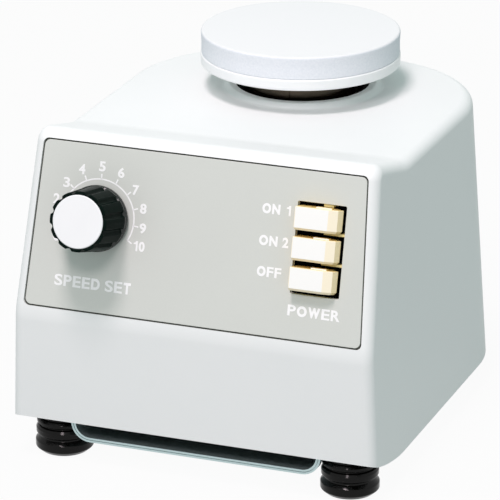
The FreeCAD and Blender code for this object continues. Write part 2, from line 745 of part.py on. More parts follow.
def motor_plate(front_half=49.0, rear_half=36.0, half_y=42.0, corner=8.0):
    """Steel plate that carries the motor and floats on the four rubber spools."""
    outline = [
        (-front_half, MOTOR_Y - half_y, corner),
        (front_half, MOTOR_Y - half_y, corner),
        (rear_half, MOTOR_Y + half_y, corner),
        (-rear_half, MOTOR_Y + half_y, corner),
    ]
    plate = lamina(outline, MOTOR_PLATE_Z, MOTOR_PLATE_TOP_Z)
    cuts = []
    for x, y in MOUNT_POINTS:
        cuts.append(cylinder(MOUNT_BOLT_R + 0.5, MOTOR_PLATE_Z, MOTOR_PLATE_TOP_Z, x, y))
    for x, y in MOTOR_SCREW_POINTS:
        cuts.append(cylinder(MOTOR_SCREW_R, MOTOR_PLATE_Z, MOTOR_PLATE_TOP_Z, x, y))
    return plate.cut(cuts)


def rubber_mounts(flange_r=8.0, waist_r=5.8, flange=2.5):
    """Waisted rubber spools that carry the motor plate and give when the head is pressed."""
    low = BASE_PLATE_TOP_Z
    high = MOTOR_PLATE_Z - 0.1
    bore_r = MOUNT_BOLT_R + 0.2
    spools = []
    for x, y in MOUNT_POINTS:
        spools.append(turned([
            (bore_r, low, 0),
            (flange_r, low, 0),
            (flange_r, low + flange, 0),
            (waist_r, low + 2 * flange, 0),
            (flange_r, high - flange, 0),
            (flange_r, high, 0),
            (bore_r, high, 0),
        ], x, y))
    return Part.makeCompound(spools)


def mount_bolts(clearance=0.3, head_r=5.4, head_h=3.5):
    """Shouldered bolts that guide the motor plate up and down."""
    top = MOTOR_PLATE_TOP_Z + clearance
    bolts = []
    for x, y in MOUNT_POINTS:
        shank = cylinder(MOUNT_BOLT_R, BASE_PLATE_Z, top, x, y)
        bolts.append(join([shank, cylinder(head_r, top, top + head_h, x, y)]))
    return Part.makeCompound(bolts)


def touch_switch(y=2.0, half_x=10.0, half_y=3.2, height=8.0, plunger_r=1.4):
    """Small snap switch under the front edge of the motor plate."""
    low = BASE_PLATE_TOP_Z
    body = box(-half_x, half_x, y - half_y, y + half_y, low, low + height)
    plunger = cylinder(plunger_r, low + height, MOTOR_PLATE_Z - TOUCH_TRAVEL - 0.4, 0, y)
    return join([body, plunger])


def base_plate(gap=0.8, corner=2.0):
    """Steel floor that closes the housing and carries everything inside."""
    inside = WALL + gap
    half = half_width(BASE_PLATE_Z) - inside
    front = KINK_Y + FRONT_LEAN + inside
    rear = rear_y(BASE_PLATE_TOP_Z) - inside
    round_r = REAR_RADIUS - inside
    outline = [(-half, front, corner), (half, front, corner), (half, rear, round_r), (-half, rear, round_r)]
    cuts = []
    for x, y in FEET.values():
        cuts.append(cylinder(FOOT_SCREW_R + SCREW_GAP, BASE_PLATE_Z, BASE_PLATE_TOP_Z, x, y))
    for x, y in MOUNT_POINTS:
        cuts.append(cylinder(MOUNT_BOLT_R + RUNNING_GAP, BASE_PLATE_Z, BASE_PLATE_TOP_Z, x, y))
    for x, y in PAN_TAB_POINTS:
        cuts.append(cylinder(PAN_SCREW_R, BASE_PLATE_Z, BASE_PLATE_TOP_Z, x, y))
    return lamina(outline, BASE_PLATE_Z, BASE_PLATE_TOP_Z).cut(cuts)


def pan_section(inset):
    half = PAN_HALF_WIDTH - inset
    wire = rounded_wire([
        (-half, BASE_PLATE_Z, 0),
        (-half, PAN_FLOOR_Z + inset, PAN_BEND - inset),
        (half, PAN_FLOOR_Z + inset, PAN_BEND - inset),
        (half, BASE_PLATE_Z, 0),
    ], lambda a, b: V(a, PAN_FRONT_Y, b))
    return Part.Face(wire).extrude(V(0, PAN_REAR_Y - PAN_FRONT_Y, 0))


def bottom_pan(tab_half=8.0, foot_gap=0.8):
    """Bent steel tray under the base, open at the front and rear, notched round the feet."""
    parts = [pan_section(0).cut(pan_section(PAN_SHEET))]
    tab_z = BASE_PLATE_Z - PAN_SHEET
    cuts = []
    for x, y in PAN_TAB_POINTS:
        root = math.copysign(PAN_HALF_WIDTH - PAN_SHEET, x)
        tip = x + math.copysign(PAN_TAB, x)
        parts.append(box(min(root, tip), max(root, tip), y - tab_half, y + tab_half, tab_z, BASE_PLATE_Z))
        cuts.append(cylinder(PAN_SCREW_R, PAN_FLOOR_Z, BASE_PLATE_Z, x, y))
    for x, y in FEET.values():
        cuts.append(cylinder(FOOT_R + foot_gap, 0, BASE_PLATE_Z, x, y))
    return join(parts).cut(cuts)


def pan_screws(head_r=2.8, head_h=1.8):
    low = BASE_PLATE_Z - PAN_SHEET
    screws = []
    for x, y in PAN_TAB_POINTS:
        shank = cylinder(PAN_SCREW_R, low, BASE_PLATE_TOP_Z, x, y)
        screws.append(join([shank, cylinder(head_r, low - head_h, low, x, y)]))
    return Part.makeCompound(screws)


def rubber_foot(x, y, neck_r=9.6, tread_r=9.2, sink_r=4.5):
    """Ribbed rubber foot with a sunk hole for its screw."""
    hole_r = FOOT_SCREW_R + SCREW_GAP
    return turned([
        (sink_r, 0, 0),
        (tread_r, 0, 0),
        (FOOT_R, 2.0, 0),
        (FOOT_R, 6.4, 0),
        (neck_r, 7.6, 0),
        (neck_r, 9.2, 0),
        (FOOT_R - 0.4, 10.2, 0),
        (FOOT_R - 0.4, 12.4, 0),
        (neck_r, 13.4, 0),
        (neck_r, BASE_PLATE_Z, 0),
        (hole_r, BASE_PLATE_Z, 0),
        (hole_r, FOOT_SINK, 0),
        (sink_r, FOOT_SINK, 0),
    ], x, y)


def foot_screws(head_r=3.8, head_h=2.6, length=30.0):
    screws = []
    for x, y in FEET.values():
        head = cylinder(head_r, FOOT_SINK - head_h, FOOT_SINK, x, y)
        screws.append(join([head, cylinder(FOOT_SCREW_R, FOOT_SINK, FOOT_SINK + length, x, y)]))
    return Part.makeCompound(screws)


def speed_board():
    return box(BOARD_X0, BOARD_X1, BOARD_Y0, BOARD_Y1, BOARD_Z, BOARD_TOP_Z)


def board_standoffs(r=3.0, inset=5.0):
    posts = []
    for x in (BOARD_X0 + inset, BOARD_X1 - inset):
        for y in (BOARD_Y0 + inset, BOARD_Y1 - inset):
            posts.append(cylinder(r, BASE_PLATE_TOP_Z, BOARD_Z, x, y))
    return Part.makeCompound(posts)


def triac_heatsink(fins=5, inset=8.0, back=2.0, fin=1.5, reach=10.0, height=22.0):
    """Finned block that cools the speed regulator."""
    x0 = BOARD_X0 + inset
    y0 = BOARD_Y0 + inset
    y1 = BOARD_Y1 - inset
    top = BOARD_TOP_Z + height
    parts = [box(x0, x0 + back, y0, y1, BOARD_TOP_Z, top)]
    step = (y1 - y0 - fin) / (fins - 1)
    for index in range(fins):
        y = y0 + index * step
        parts.append(box(x0 + back, x0 + back + reach, y, y + fin, BOARD_TOP_Z, top))
    return join(parts)


def filter_capacitor(width=10.0, depth=24.0, height=16.0, inset=9.0):
    x1 = BOARD_X1 - inset
    y = (BOARD_Y0 + BOARD_Y1) / 2
    return box(x1 - width, x1, y - depth / 2, y + depth / 2, BOARD_TOP_Z, BOARD_TOP_Z + height)


def terminal_block(x=40.0, y=-36.0, half_x=16.0, half_y=7.0, height=13.0, well_r=2.6, pitch=10.0):
    """Three-way terminal block for the mains lead."""
    low = BASE_PLATE_TOP_Z
    block = box(x - half_x, x + half_x, y - half_y, y + half_y, low, low + height)
    return block.cut([cylinder(well_r, low + 8, low + height, x + dx, y) for dx in (-pitch, 0, pitch)])


def cord_gland(bore_r=3.6, flange=2.6, nose=4.5, inner=6.0):
    """Rubber bush in the rear wall where a mains lead comes in."""
    wire = rounded_wire([
        (bore_r, -inner, 0),
        (GLAND_R, -inner, 0),
        (GLAND_R, 0, 0),
        (GLAND_R + flange, 0, 0),
        (GLAND_R + flange, flange, 0),
        (GLAND_R - 1.8, flange, 0),
        (GLAND_R - 2.2, flange + nose, 0),
        (bore_r, flange + nose, 0),
    ], lambda a, b: V(a, b, 0))
    return on_rear_wall(Part.Face(wire).revolve(V(0, 0, 0), Y_AXIS, 360))


def nodes():
    made = {
        "housing": housing(),
        "control_panel": control_panel(),
        "speed_knob": speed_knob(),
        "knob_cap": knob_cap(),
        "pot_shaft": pot_shaft(),
        "potentiometer": potentiometer(),
        "pot_nut": pot_nut(),
        "switch_body": switch_body(),
        "switch_screws": switch_screws(),
        "head_pad": head_pad(),
        "head_plate": head_plate(),
        "head_screw": head_screw(),
        "head_carrier": head_carrier(),
        "guide_pins": guide_pins(),
        "neck_sleeve": neck_sleeve(),
        "bearing_outer": bearing_outer(),
        "bearing_inner": bearing_inner(),
        "eccentric_hub": eccentric_hub(),
        "counterweight": counterweight(),
        "motor_shaft": motor_shaft(),
        "rotor": rotor(),
        "stator": stator(),
        "stator_coils": stator_coils(),
        "lower_bracket": lower_bracket(),
        "upper_bracket": upper_bracket(),
        "lower_bush": lower_bush(),
        "upper_bush": upper_bush(),
        "guide_bushes": guide_bushes(),
        "motor_screws": motor_screws(),
        "motor_plate": motor_plate(),
        "rubber_mounts": rubber_mounts(),
        "mount_bolts": mount_bolts(),
        "touch_switch": touch_switch(),
        "base_plate": base_plate(),
        "bottom_pan": bottom_pan(),
        "pan_screws": pan_screws(),
        "foot_screws": foot_screws(),
        "speed_board": speed_board(),
        "board_standoffs": board_standoffs(),
        "triac_heatsink": triac_heatsink(),
        "filter_capacitor": filter_capacitor(),
        "terminal_block": terminal_block(),
        "cord_gland": cord_gland(),
    }
    for step, name in ((1, "button_on1"), (0, "button_on2"), (-1, "button_off")):
        made[name] = button(SWITCH_S + step * BUTTON_PITCH)
    for name, (x, y) in FEET.items():
        made[name] = rubber_foot(x, y)
    return made


os.makedirs("parts", exist_ok=True)
for name, shape in nodes().items():
    shape.exportStep(f"parts/{name}.step")
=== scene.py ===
import json
import math

import bmesh
import bpy
from mathutils import Matrix, Vector


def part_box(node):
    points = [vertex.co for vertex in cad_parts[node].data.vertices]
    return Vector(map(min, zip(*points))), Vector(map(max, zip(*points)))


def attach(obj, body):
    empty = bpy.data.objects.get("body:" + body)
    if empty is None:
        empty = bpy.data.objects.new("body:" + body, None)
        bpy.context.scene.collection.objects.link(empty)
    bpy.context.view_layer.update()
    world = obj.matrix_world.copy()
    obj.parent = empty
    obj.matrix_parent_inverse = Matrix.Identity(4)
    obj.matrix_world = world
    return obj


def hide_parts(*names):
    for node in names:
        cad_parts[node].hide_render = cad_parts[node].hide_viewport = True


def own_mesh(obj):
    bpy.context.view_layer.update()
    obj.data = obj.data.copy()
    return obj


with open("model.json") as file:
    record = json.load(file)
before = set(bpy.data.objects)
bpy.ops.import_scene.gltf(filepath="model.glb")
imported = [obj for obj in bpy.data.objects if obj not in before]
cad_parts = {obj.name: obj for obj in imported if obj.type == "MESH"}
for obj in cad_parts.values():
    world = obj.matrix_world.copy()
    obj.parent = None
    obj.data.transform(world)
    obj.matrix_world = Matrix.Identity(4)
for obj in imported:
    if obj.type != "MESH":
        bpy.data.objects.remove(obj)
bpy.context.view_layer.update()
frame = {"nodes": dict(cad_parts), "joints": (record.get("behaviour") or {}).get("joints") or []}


# Housing: one thin-walled aluminium casting with an upright front, a sloping panel face under a
# raised brow, and wide rounded rear corners. It is smoothed, sprayed and baked with white enamel,
# and it is cut out for the control plate, buttons, knob, neck and gland.
MM = 0.001
TINY = 0.001 * MM
WALL = 2.5 * MM
THROUGH = 2 * WALL
SKIRT_Z = 11 * MM
SKIRT_HALF_WIDTH = 73.19 * MM
SIDE_SLOPE = 0.0365
FRONT_Y = -86.7 * MM
FRONT_EDGE_Z = 17.6 * MM
SWEEP_LENGTH = 16.3 * MM
SWEEP_RADIUS = 88 * MM
SPARE_Z = 3 * MM
KINK_Y = -87.5 * MM
KINK_Z = 60.6 * MM
KINK_RADIUS = 25 * MM
PANEL_LENGTH = 70.5 * MM
PANEL_TILT = math.radians(14.3)
BROW_RADIUS = 6 * MM
BROW_DRAW_IN = 1.2 * MM
VALLEY_RADIUS = 22 * MM
TOP_Z = 121 * MM
REAR_TOP_Y = 83.3 * MM
REAR_SKIRT_Y = 94.7 * MM
REAR_RADIUS = 54 * MM
EDGE_RADIUS = 4 * MM
EDGE_FOLD = math.radians(25)
FACING_DOWN = -0.5
BROW_Y = KINK_Y + PANEL_LENGTH * math.sin(PANEL_TILT)
BROW_Z = KINK_Z + PANEL_LENGTH * math.cos(PANEL_TILT)
VALLEY_Y = BROW_Y + (BROW_Z - TOP_Z) / math.tan(PANEL_TILT)
FRONT_LEAN = (FRONT_Y - KINK_Y) / (KINK_Z - FRONT_EDGE_Z)
REAR_LEAN = (REAR_SKIRT_Y - REAR_TOP_Y) / (TOP_Z - SKIRT_Z)
SIDE_OUTLINE = [
    (KINK_Y, KINK_Z, KINK_RADIUS),
    (BROW_Y, BROW_Z, BROW_RADIUS),
    (VALLEY_Y, TOP_Z, VALLEY_RADIUS),
    (REAR_TOP_Y, TOP_Z, 0),
    (REAR_SKIRT_Y + REAR_LEAN * (SKIRT_Z - SPARE_Z), SPARE_Z, 0),
    (FRONT_Y + FRONT_LEAN * (FRONT_EDGE_Z - SPARE_Z), SPARE_Z, 0),
]
TRIM_REACH = 5 * MM
TRIM_RISE = (FRONT_EDGE_Z - SKIRT_Z) * (1 + TRIM_REACH / SWEEP_LENGTH)
SKIRT_TRIM = [
    (FRONT_Y - TRIM_REACH, 0, 0),
    (REAR_SKIRT_Y + TRIM_REACH, 0, 0),
    (REAR_SKIRT_Y + TRIM_REACH, SKIRT_Z, 0),
    (FRONT_Y + SWEEP_LENGTH, SKIRT_Z, SWEEP_RADIUS),
    (FRONT_Y - TRIM_REACH, SKIRT_Z + TRIM_RISE, 0),
]


def round_off(bm, geom, reach, segments, affect="EDGES"):
    """Turns edges or corners into arcs that start a given reach away from them."""
    bmesh.ops.bevel(
        bm, geom=geom, offset=reach, offset_type="OFFSET", affect=affect,
        segments=segments, profile=0.5, material=-1,
    )


def rounded_outline(corners, segments=8):
    """One flat face in XY through (a, b, radius) corners, each corner turned into an arc."""
    bm = bmesh.new()
    verts = [bm.verts.new((a, b, 0)) for a, b, radius in corners]
    bm.faces.new(verts)
    for vert, (a, b, radius) in zip(verts, corners):
        if radius:
            sides = [edge.other_vert(vert).co - vert.co for edge in vert.link_edges]
            reach = radius / math.tan(sides[0].angle(sides[1]) / 2)
            round_off(bm, [vert], reach, segments, affect="VERTICES")
    return bm


def verts_of(region):
    """The vertices that an extrusion has made."""
    return [v for v in region["geom"] if isinstance(v, bmesh.types.BMVert)]


def raise_face(bm, height):
    """Extrudes the only face of a mesh along Z and returns the mesh as a closed block."""
    region = bmesh.ops.extrude_face_region(bm, geom=bm.faces[:])
    bmesh.ops.translate(bm, vec=(0, 0, height), verts=verts_of(region))
    bmesh.ops.recalc_face_normals(bm, faces=bm.faces[:])
    return bm


def to_object(bm, name):
    """A new piece of the scene from a finished bmesh."""
    mesh = bpy.data.meshes.new(name)
    bm.to_mesh(mesh)
    bm.free()
    piece = bpy.data.objects.new(name, mesh)
    bpy.context.scene.collection.objects.link(piece)
    return piece


def baked_mesh(piece):
    """The mesh of a piece with its modifiers in it."""
    bpy.context.view_layer.update()
    return bpy.data.meshes.new_from_object(piece.evaluated_get(bpy.context.evaluated_depsgraph_get()))


def cut(piece, cutters):
    """Takes the cutters' space out of a piece and removes the cutters."""
    for cutter in cutters:
        modifier = piece.modifiers.new("cut", "BOOLEAN")
        modifier.object = cutter
        modifier.solver = "EXACT"
    solid = baked_mesh(piece)
    piece.modifiers.clear()
    piece.data = solid
    for cutter in cutters:
        bpy.data.objects.remove(cutter)


def dress(piece, material, body, nodes=(), sharp=35):
    """Shades a finished piece and puts it on its body in place of its CAD nodes."""
    piece.data.materials.clear()
    piece.data.materials.append(material)
    piece.data.shade_smooth()
    piece.data.set_sharp_from_angle(angle=math.radians(sharp))
    normals = piece.modifiers.new("even_shading", "WEIGHTED_NORMAL")
    normals.keep_sharp = True
    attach(piece, body)
    if nodes:
        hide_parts(*nodes)
    return piece


def half_width(y, z):
    """Half the width of the casting, whose sides slope and draw in a little towards the brow."""
    forward = (REAR_TOP_Y - y) / (REAR_TOP_Y - BROW_Y)
    upward = max(z - KINK_Z, 0) / (BROW_Z - KINK_Z)
    return SKIRT_HALF_WIDTH - SIDE_SLOPE * (z - SKIRT_Z) - BROW_DRAW_IN * forward * upward


side = rounded_outline(SIDE_OUTLINE, segments=10)
side_on = Matrix(((0, 0, 1, 0), (1, 0, 0, 0), (0, 1, 0, 0), (0, 0, 0, 1)))
bmesh.ops.transform(side, matrix=side_on, verts=side.verts[:])
region = bmesh.ops.extrude_face_region(side, geom=side.faces[:])
for vert in verts_of(region):
    vert.co.x = half_width(vert.co.y, vert.co.z)
middle = [f for f in side.faces if all(v.co.x < TINY for v in f.verts)]
bmesh.ops.delete(side, geom=middle, context="FACES_ONLY")
rear_edge = [
    e for e in side.edges if all(v.co.x > TINY and v.co.y > REAR_TOP_Y - TINY for v in e.verts)
]
round_off(side, rear_edge, REAR_RADIUS, segments=24)
side.normal_update()
bmesh.ops.recalc_face_normals(side, faces=side.faces[:])
soft_edges = [
    e for e in side.edges
    if len(e.link_faces) == 2
    and e.calc_face_angle() > EDGE_FOLD
    and min(f.normal.z for f in e.link_faces) > FACING_DOWN
]
round_off(side, soft_edges, EDGE_RADIUS, segments=8)
side.normal_update()
under = [f for f in side.faces if f.normal.z < FACING_DOWN]
bmesh.ops.delete(side, geom=under, context="FACES")
everything = side.verts[:] + side.edges[:] + side.faces[:]
bmesh.ops.mirror(side, geom=everything, matrix=Matrix.Identity(4), merge_dist=TINY, axis="X")
bmesh.ops.recalc_face_normals(side, faces=side.faces[:])
shell = to_object(side, "enamelled_shell")
wall = shell.modifiers.new("wall", "SOLIDIFY")
wall.thickness = WALL
wall.offset = -1
wall.use_even_offset = True


def joint(name):
    """The joint of the part with this name."""
    return next(row for row in frame["joints"] if row["name"] == name)


def axis_of(name):
    """The place on the ground under the upright axis of a joint."""
    x, y = joint(name)["pos_m"][:2]
    return Matrix.Translation((x, y, 0))


turn = joint("speed_turn")
ACROSS = Vector((1, 0, 0))
OUT_OF_PANEL = -Vector(turn["axis"])
UP_PANEL = OUT_OF_PANEL.cross(ACROSS)
KNOB_X = -39.9 * MM
KNOB_S = 38.5 * MM
PANEL = Matrix((ACROSS, UP_PANEL, OUT_OF_PANEL)).transposed().to_4x4()
PANEL.translation = Vector(turn["pos_m"]) - KNOB_X * ACROSS - KNOB_S * UP_PANEL
KNOB = PANEL @ Matrix.Translation((KNOB_X, KNOB_S, 0))
PLATE_LOW = 3 * MM
PLATE_HIGH = 65.8 * MM
PLATE_LOW_HALF = 66.8 * MM
PLATE_HIGH_HALF = 63.7 * MM
PLATE_CORNER = 2.2 * MM
PLATE_BED = -1.2 * MM
RECESS_GAP = 0.5 * MM
WINDOW_X = 47.4 * MM
WINDOW_S = 37.2 * MM
WINDOW_WIDTH = 19 * MM
WINDOW_HEIGHT = 34.2 * MM
WINDOW_CORNER = 0.6 * MM
BUSH_HOLE_R = 4.8 * MM
HOLE_R = 25 * MM
GLAND_R = 7.4 * MM
GLAND_Z = 36 * MM
MOTOR = axis_of("motor_spin")


def plate_outline(grow):
    """The corners of the control plate on the panel, all moved out by a given gap."""
    return [
        (-PLATE_LOW_HALF - grow, PLATE_LOW - grow, PLATE_CORNER),
        (PLATE_LOW_HALF + grow, PLATE_LOW - grow, PLATE_CORNER),
        (PLATE_HIGH_HALF + grow, PLATE_HIGH + grow, PLATE_CORNER),
        (-PLATE_HIGH_HALF - grow, PLATE_HIGH + grow, PLATE_CORNER),
    ]


def rectangle(x, y, width, height, radius=0.0):
    """The corners of a rectangle about a middle point."""
    return [
        (x - width / 2, y - height / 2, radius),
        (x + width / 2, y - height / 2, radius),
        (x + width / 2, y + height / 2, radius),
        (x - width / 2, y + height / 2, radius),
    ]


def block(corners, low, high, place):
    """A closed block over a rounded outline, from low to high, set in place."""
    bm = raise_face(rounded_outline(corners), high - low)
    bmesh.ops.transform(bm, matrix=place @ Matrix.Translation((0, 0, low)), verts=bm.verts[:])
    return bm


def drum(radius, low, high, place, segments=64):
    """A closed round block about the local Z axis, set in place."""
    bm = bmesh.new()
    bmesh.ops.create_circle(bm, cap_ends=True, segments=segments, radius=radius)
    raise_face(bm, high - low)
    bmesh.ops.transform(bm, matrix=place @ Matrix.Translation((0, 0, low)), verts=bm.verts[:])
    return bm


def panel_holes():
    """Cutters for the buttons' window and for the bush of the speed shaft."""
    window = rectangle(WINDOW_X, WINDOW_S, WINDOW_WIDTH, WINDOW_HEIGHT, WINDOW_CORNER)
    return [
        to_object(block(window, -THROUGH, THROUGH, PANEL), "window_cutter"),
        to_object(drum(BUSH_HOLE_R, -THROUGH, THROUGH, KNOB), "bush_cutter"),
    ]


skirt_trim = block(SKIRT_TRIM, -SKIRT_HALF_WIDTH - WALL, SKIRT_HALF_WIDTH + WALL, side_on)
recess = block(plate_outline(RECESS_GAP), PLATE_BED, WALL, PANEL)
hole = drum(HOLE_R, TOP_Z - THROUGH, TOP_Z + WALL, MOTOR, segments=128)
gland_y = REAR_SKIRT_Y - (GLAND_Z - SKIRT_Z) * REAR_LEAN
gland_turn = Matrix.Rotation(math.atan(REAR_LEAN) - math.radians(90), 4, "X")
GLAND = Matrix.Translation((0, gland_y, GLAND_Z)) @ gland_turn
gland_hole = drum(GLAND_R, -THROUGH, THROUGH, GLAND)
cut(shell, panel_holes() + [
    to_object(skirt_trim, "skirt_cutter"),
    to_object(recess, "recess_cutter"),
    to_object(hole, "hole_cutter"),
    to_object(gland_hole, "gland_cutter"),
])

ENAMEL_WHITE = "#F2F4F3"
ENAMEL_SHADE = "#EEF1F0"
ENAMEL_CLOUD = 40 * MM
ENAMEL_ROUGHNESS = (0.44, 0.52)
PEEL_SIZE = 1.6 * MM
PEEL_DEPTH = 0.02 * MM


def linear(code):
    """An sRGB hex colour as the linear RGBA that a shader takes."""
    parts = [int(code[i:i + 2], 16) / 255 for i in (1, 3, 5)]
    return [c / 12.92 if c <= 0.04045 else ((c + 0.055) / 1.055) ** 2.4 for c in parts] + [1.0]


def add_node(tree, kind, inputs=(), **settings):
    """Adds a node, sets its properties, and gives its sockets a value or a link."""
    node = tree.nodes.new(kind)
    for name, value in settings.items():
        setattr(node, name, value)
    for socket, value in dict(inputs).items():
        if isinstance(value, bpy.types.NodeSocket):
            tree.links.new(value, node.inputs[socket])
        else:
            node.inputs[socket].default_value = value
    return node


def start_material(name, **sockets):
    """A new material with its shader, whose constant sockets are set by name."""
    material = bpy.data.materials.new(name)
    material.use_nodes = True
    shader = material.node_tree.nodes["Principled BSDF"]
    for socket, value in sockets.items():
        shader.inputs[socket.replace("_", " ")].default_value = value
    return material, material.node_tree, shader


def mottled(name, dark, light, size, detail, rough=None, stretch=(1, 1, 1), **sockets):
    """A material whose tone, and roughness where given, drift with a noise of a real size."""
    material, tree, shader = start_material(name, **sockets)
    place = add_node(tree, "ShaderNodeTexCoord").outputs["Object"]
    scaled = add_node(tree, "ShaderNodeMapping", {
        "Vector": place, "Scale": [1 / (size * along) for along in stretch],
    })
    drift = add_node(tree, "ShaderNodeTexNoise", {
        "Vector": scaled.outputs["Vector"], "Scale": 1.0, "Detail": detail,
    }).outputs["Fac"]
    tone = add_node(tree, "ShaderNodeMix", {
        0: drift, 6: linear(dark), 7: linear(light),
    }, data_type="RGBA")
    tree.links.new(tone.outputs[2], shader.inputs["Base Color"])
    if rough:
        gloss = add_node(tree, "ShaderNodeMapRange", {
            "Value": drift, "To Min": rough[0], "To Max": rough[1],
        })
        tree.links.new(gloss.outputs["Result"], shader.inputs["Roughness"])
    return material


def add_relief(material, size, detail, strength, depth):
    """Gives a material a fine relief with grains of a real size and depth."""
    tree = material.node_tree
    place = add_node(tree, "ShaderNodeTexCoord").outputs["Object"]
    grain = add_node(tree, "ShaderNodeTexNoise", {
        "Vector": place, "Scale": 1 / size, "Detail": detail,
    })
    relief = add_node(tree, "ShaderNodeBump", {
        "Height": grain.outputs["Fac"], "Strength": strength, "Distance": depth,
    })
    tree.links.new(relief.outputs["Normal"], tree.nodes["Principled BSDF"].inputs["Normal"])


# Baked enamel gives an even white with broad soft lights and, close up, a faint orange peel.
enamel = mottled(
    "baked_enamel", ENAMEL_SHADE, ENAMEL_WHITE, ENAMEL_CLOUD, detail=3.0, rough=ENAMEL_ROUGHNESS,
    IOR=1.5, Specular_IOR_Level=0.35,
)
add_relief(enamel, PEEL_SIZE, detail=1.0, strength=0.12, depth=PEEL_DEPTH)
dress(shell, enamel, "base", ["housing"])


# Collar: the rolled lip of the same casting round the hole that the head's neck comes out of,
# enamelled with the shell and a little proud of the top. A ring of black felt is glued into the
# hole and narrows the gap round the neck. Its black is painted shade for that gap.
COLLAR_R = 31 * MM
COLLAR_FLARE = 1.5 * MM
COLLAR_SINK = 0.1 * MM
COLLAR_STEP = 0.2 * MM
COLLAR_SHOULDER = 2 * MM
COLLAR_ROLL = 1.2 * MM
COLLAR_EASE = 0.4 * MM
COLLAR_HOLE_R = 26.3 * MM
COLLAR_TOP_Z = TOP_Z + 2.0 * MM
FELT_R = 24.3 * MM
FELT_OUTER_DROP = 0.3 * MM
FELT_INNER_DROP = 0.9 * MM
FELT_SHADE_BLACK = "#050505"
FELT_DUST = "#0E0D0C"
FELT_FIBRE = 0.4 * MM
upright = Matrix.Rotation(math.radians(90), 4, "X")


def spun(corners, place, steps=96, segments=6):
    """A profile of (radius, height, corner radius) turned a full circle about the local Z axis."""
    bm = rounded_outline(corners, segments)
    bmesh.ops.delete(bm, geom=bm.faces[:], context="FACES_ONLY")
    on_axis = [e for e in bm.edges if all(abs(v.co.x) < TINY for v in e.verts)]
    bmesh.ops.delete(bm, geom=on_axis, context="EDGES")
    bmesh.ops.transform(bm, matrix=upright, verts=bm.verts[:])
    bmesh.ops.spin(
        bm, geom=bm.verts[:] + bm.edges[:], cent=(0, 0, 0), axis=(0, 0, 1), dvec=(0, 0, 0),
        angle=2 * math.pi, steps=steps, use_merge=True,
    )
    bmesh.ops.remove_doubles(bm, verts=bm.verts[:], dist=TINY)
    bmesh.ops.recalc_face_normals(bm, faces=bm.faces[:])
    bmesh.ops.transform(bm, matrix=place, verts=bm.verts[:])
    return bm


collar = to_object(spun([
    (HOLE_R, TOP_Z - WALL, 0),
    (COLLAR_R + COLLAR_FLARE, TOP_Z - COLLAR_SINK, 0),
    (COLLAR_R, TOP_Z + COLLAR_STEP, COLLAR_FLARE),
    (COLLAR_R - COLLAR_SHOULDER, COLLAR_TOP_Z, COLLAR_ROLL),
    (COLLAR_HOLE_R, COLLAR_TOP_Z, COLLAR_EASE),
    (COLLAR_HOLE_R, TOP_Z, 0),
    (HOLE_R, TOP_Z, 0),
], MOTOR, steps=128), "hole_collar")
dress(collar, enamel, "base")

# The felt's near-black colour is painted shade: it makes the gap round the neck read as a dead
# black with no highlight. Its fibres are drawn coarser than real ones, so that they show.
painted_gap_shade = mottled(
    "black_felt_painted_shade", FELT_SHADE_BLACK, FELT_DUST, FELT_FIBRE, detail=4.0,
    IOR=1.45, Roughness=0.95, Specular_IOR_Level=0.05,
)
gap_shade_ring = to_object(spun([
    (FELT_R, TOP_Z - THROUGH, 0),
    (HOLE_R - TINY, TOP_Z - THROUGH, 0),
    (HOLE_R - TINY, TOP_Z + TINY, 0),
    (COLLAR_HOLE_R - TINY, TOP_Z + TINY, 0),
    (COLLAR_HOLE_R - TINY, COLLAR_TOP_Z - FELT_OUTER_DROP, 0.2 * MM),
    (FELT_R, COLLAR_TOP_Z - FELT_INNER_DROP, 0.3 * MM),
], MOTOR, steps=128), "gap_shade_ring")
dress(gap_shade_ring, painted_gap_shade, "base")


# Floor and tray: a flat steel floor closes the casting, and a bent zinc-plated tray with open ends
# is screwed below it, notched round the feet. Its sheet is folded double, which leaves a fine
# hem line along the front edge.
TRAY_HALF_WIDTH = 50.3 * MM
TRAY_FLOOR_Z = 8.7 * MM
TRAY_SHEET = 1.8 * MM
TRAY_BEND = 7.5 * MM
TRAY_FRONT_Y = -82.4 * MM
TRAY_REAR_Y = 70 * MM
TRAY_RIM_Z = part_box("base_plate")[0].z
HEM_LINE = 0.25 * MM
HEM_DEPTH = 0.6 * MM
HEM_INSET = (TRAY_SHEET - HEM_LINE) / 2
FEET = ("foot_front_left", "foot_front_right", "foot_rear_left", "foot_rear_right")
FOOT_CLEARANCE = 12 * MM
ZINC_LIGHT = "#C6D9DA"
ZINC_DARK = "#B4C8C9"
ZINC_ROUGHNESS = (0.35, 0.5)
DRAWN_LINE_WIDTH = 0.8 * MM
DRAWN_LINE_LENGTH = 30 * MM

# Zinc plating gives a pale, cool satin grey with fine lines drawn along the sheet. The lines are
# wider than real ones, so that they show.
zinc = mottled(
    "zinc_plated_steel", ZINC_DARK, ZINC_LIGHT, DRAWN_LINE_WIDTH, detail=2.0, rough=ZINC_ROUGHNESS,
    stretch=(1, DRAWN_LINE_LENGTH / DRAWN_LINE_WIDTH, 1), Metallic=0.75,
)


